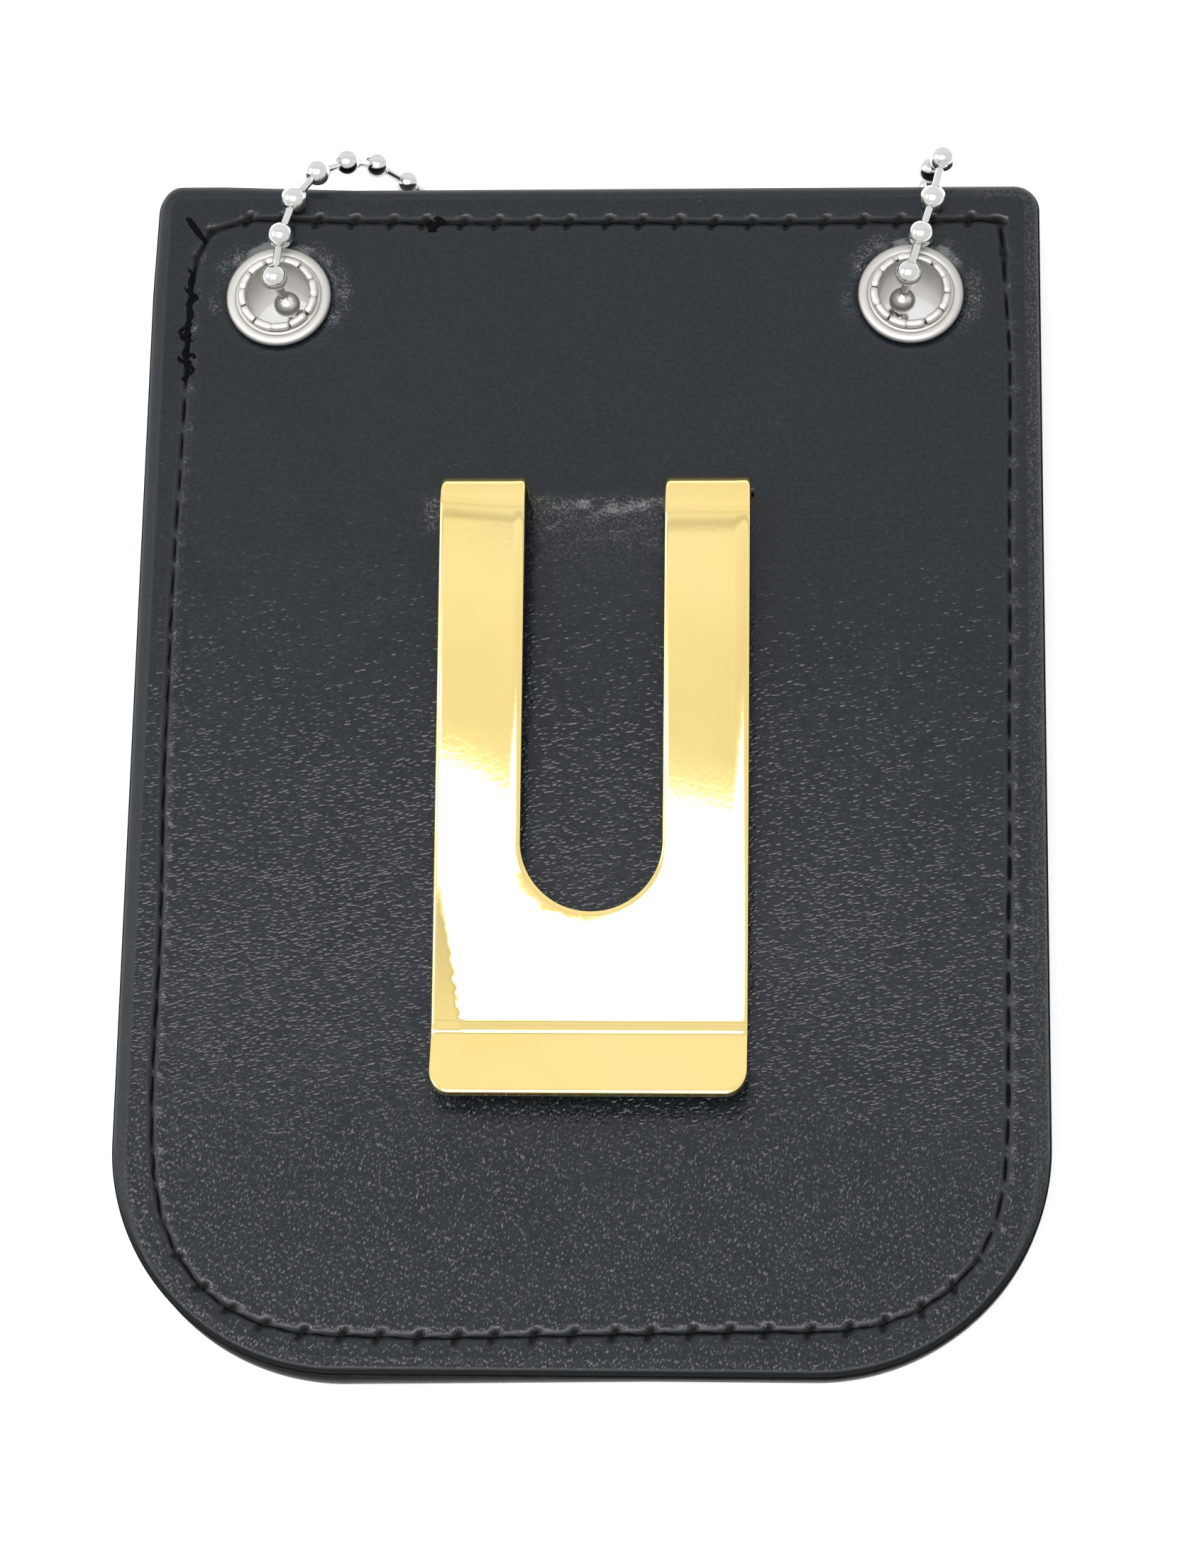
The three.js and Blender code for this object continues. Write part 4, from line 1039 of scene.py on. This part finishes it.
def spaced(points, first, last):
    """Bead centres about one pitch apart on a smooth run."""
    run = refine(points, 12)
    along = lengths(run)
    count = round(along[-1] / BEAD_PITCH)
    at = np.linspace(0, along[-1], count + 1)[first:last]
    return np.column_stack([np.interp(at, along, run[:, k]) for k in range(3)])


def bead_centres():
    flat = lambda run: [(x, y, CHAIN_Z) for x, y in run]
    to_join = [RIGHT_BEADS[-1], *flat(RIGHT_RUN), (25.6, 13.4, CHAIN_Z), (19.6, JOIN_Y, JOIN_Z)]
    coil = coil_arm(240, 510)[::-1] + coil_middle()[::-1] + coil_arm(420, 600)
    from_join = [(14.4, JOIN_Y, JOIN_Z), (6.5, 13.0, CHAIN_Z), *coil, *flat(LEFT_RUN), LEFT_BEADS[0]]
    front = [(-27.3, 43.4, -2.35), *[(-24.1 + 48.2 * i / 12, 43.4, CHAIN_Z) for i in range(13)], (27.3, 43.4, -2.35)]
    return np.vstack([RIGHT_BEADS, spaced(to_join, 1, None), spaced(from_join, 0, -1), LEFT_BEADS, front])


def ball_chain():
    centres = bead_centres()
    after, before = following(centres), following(centres, -1)
    # Profiles of a bead and a link, as (along, radius)
    bead = [(-1.04, 0.36), (-1.12, 0.44)]
    bead += [(-1.2 * cos(a), 1.2 * sin(a)) for a in np.radians(np.linspace(23, 157, 11))]
    bead += [(1.12, 0.44), (1.04, 0.36)]
    link = [(0.0, 0.36), (0.3, 0.38), (0.7, 0.38), (1.0, 0.36)]
    shell = Shell()

    def turned(start, ahead, profile, length, sides):
        ahead, _, spokes = around(ahead, (0.2, 0.1, 1.0), sides)
        shell.skin([shell.ring(start + ahead * a * length + spokes * r) for a, r in profile], capped=True)

    for p, q, o in zip(centres, after, before):
        turned(p, q - o, bead, 1.0, 20)
        turned(p + (q - p) * 0.2, q - p, link, np.linalg.norm(q - p) * 0.6, 8)
    piece = make("ball_chain", shell, chrome, angle=45)
    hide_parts("chain_right", "chain_coil", "chain_left", "chain_front")
    return piece, centres


def connector():
    """Sprung sleeve that grips the two end beads, with its mouth along the top."""
    shell = Shell()
    r = BEAD / 2 + 0.5
    end = [(0, 0.62), (0.03, 0.4), (0.2, 0.15), (0.55, 0.02), (0.9, 0), (2.9, 0), (3.3, 0.16)]
    outside = [(13.0 + x, r - drop) for x, drop in end] + [(21.0 - x, r - drop) for x, drop in reversed(end)]
    profile = outside + [(x, max(radius - 0.24, 0.8)) for x, radius in reversed(outside[1:-1])]
    shell.skin([
        shell.ring([(x, JOIN_Y + q * cos(a), JOIN_Z + q * sin(a)) for x, q in profile])
        for a in np.linspace(radians(110), radians(430), 33)
    ], capped=True)
    piece = make("connector_sleeve", shell, chrome, angle=50)
    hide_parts("chain_connector")
    return piece


def tie():
    """Flat strap round the three turns of the coil."""
    size = dict(width=9.4, height=3.4, top=1.0, bottom=1.0)
    path = rounded(size, 0.0, 0.3) + np.array((15.4, -3.86))
    out = to_right(headings(path))
    section = [(-1.5, 0.1), (-1.4, 0.19), (-1.0, 0.2), (1.0, 0.2), (1.4, 0.19), (1.5, 0.1),
               (1.5, -0.1), (1.4, -0.19), (-1.4, -0.19), (-1.5, -0.1)]
    turn = radians(TIE_AT)
    shell = Shell()
    rings = []
    for w, t in section:
        x, z = (path + out * t).T
        across = (x * cos(turn) - w * sin(turn), COIL_Y + x * sin(turn) + w * cos(turn))
        rings.append(shell.ring(np.column_stack([*across, z])))
    shell.skin(rings, closed=True)
    piece = make("coil_tie", shell, plastic, angle=50)
    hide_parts("chain_tie")
    return piece


chain, centres = ball_chain()
sleeve = connector()
strap = tie()

panel("back_leather", "back_cover", back_relief, back_marks, BACK_Z, 1, 1.75)
panel("front_leather", "front_cover", front_relief, front_marks, FRONT_Z, -1, 1.45)
stitches("stitches_back", BACK_Z, 1)
stitches("stitches_front", FRONT_Z, -1)
for label, side in (("left", -1), ("right", 1)):
    eyelet(label, side)
clip()

inner = dict(front_board=board, back_board=board, seat_pad=board, recess_spacer=suede, back_lining=suede,
             badge_seat=seat_leather)
for node, finish in inner.items():
    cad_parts[node].material_slots[0].material = finish


# Floor, lights and surroundings

def stage_floor():
    """A white floor, which keeps the shadow and shows white to the camera and in polished metal."""
    n = Nodes("floor_white", Base_Color=(0.78, 0.78, 0.78, 1), Roughness=0.9, Specular_IOR_Level=0.0,
              Emission_Color=(1, 1, 1, 1))
    light = n.new("ShaderNodeLightPath").outputs
    glow = n.maths("MAXIMUM", n.times(light["Is Camera Ray"], 0.5), n.times(light["Is Glossy Ray"], 0.8))
    n.join(glow, n.shader.inputs["Emission Strength"])
    reach, z = 3.0, TABLE_Z * MM - 0.00002
    mesh = bpy.data.meshes.new("floor")
    corners = [(x * reach, y * reach, z) for x, y in ((-1, -1), (1, -1), (1, 1), (-1, 1))]
    mesh.from_pydata(corners, [], [(0, 1, 2, 3)])
    mesh.materials.append(n.owner)
    floor = placed("floor", mesh)


def area_light(name, at, aim, size, radiance, turn=0.0):
    """A soft lamp of even brightness, given as the radiance of its face."""
    lamp = bpy.data.lights.new(name, "AREA")
    lamp.shape = "RECTANGLE"
    lamp.size, lamp.size_y = size[0] * MM, size[1] * MM
    lamp.energy = radiance * pi * lamp.size * lamp.size_y
    piece = placed(name, lamp)
    piece.location = Vector(at) * MM
    piece.rotation_euler = (Vector(aim) - Vector(at)).to_track_quat("-Z", "Y").to_euler()
    piece.rotation_euler.rotate_axis("Z", radians(turn))
    piece.visible_camera = False


def surroundings():
    """White for the camera, and for light and metal a pale studio that is banded from top to bottom."""
    scene.world = bpy.data.worlds.new("studio")
    n = Nodes(scene.world)
    bands = n.new("ShaderNodeValToRGB")
    stops = [(0.0, 0.80), (0.50, 0.90), (0.535, 0.84), (0.558, 0.97), (0.564, 0.97), (0.572, 0.68), (0.580, 0.68),
             (0.60, 0.92), (0.65, 0.80), (0.68, 0.90), (0.86, 0.97), (1.0, 0.90)]
    elements = bands.color_ramp.elements
    while len(elements) < len(stops):
        elements.new(0.5)
    for element, (at, level) in zip(elements, stops):
        element.position = at
        element.color = (level, level, level, 1)
    direction = n.new("ShaderNodeTexCoord").outputs["Generated"]
    y = n.new("ShaderNodeSeparateXYZ", {"Vector": direction}).outputs["Y"]
    n.join(n.maths("MULTIPLY_ADD", y, 0.5, 0.5), bands.inputs["Fac"])
    light = n.new("ShaderNodeLightPath").outputs
    room = n.tree.nodes["Background"]
    n.join(bands.outputs["Color"], room.inputs["Color"])
    n.join(n.spread(light["Is Glossy Ray"], 0, 1, 0.52, 1.08), room.inputs["Strength"])
    seen = n.new("ShaderNodeBackground", {"Color": (1, 1, 1, 1), "Strength": 1.0})
    mix = n.new("ShaderNodeMixShader", {
        "Fac": light["Is Camera Ray"], 1: room.outputs["Background"], 2: seen.outputs["Background"]})
    n.join(mix.outputs["Shader"], n.tree.nodes["World Output"].inputs["Surface"])


stage_floor()
surroundings()
area_light("softbox_overhead", (-72.4, -174.8, 620), (-72.4, -174.8, 0), (560, 430), 5.0, turn=-11)
area_light("softbox_left", (-520, 60, 330), (0, 10, 0), (300, 300), 2.2)

scene.view_settings.view_transform = "Standard"
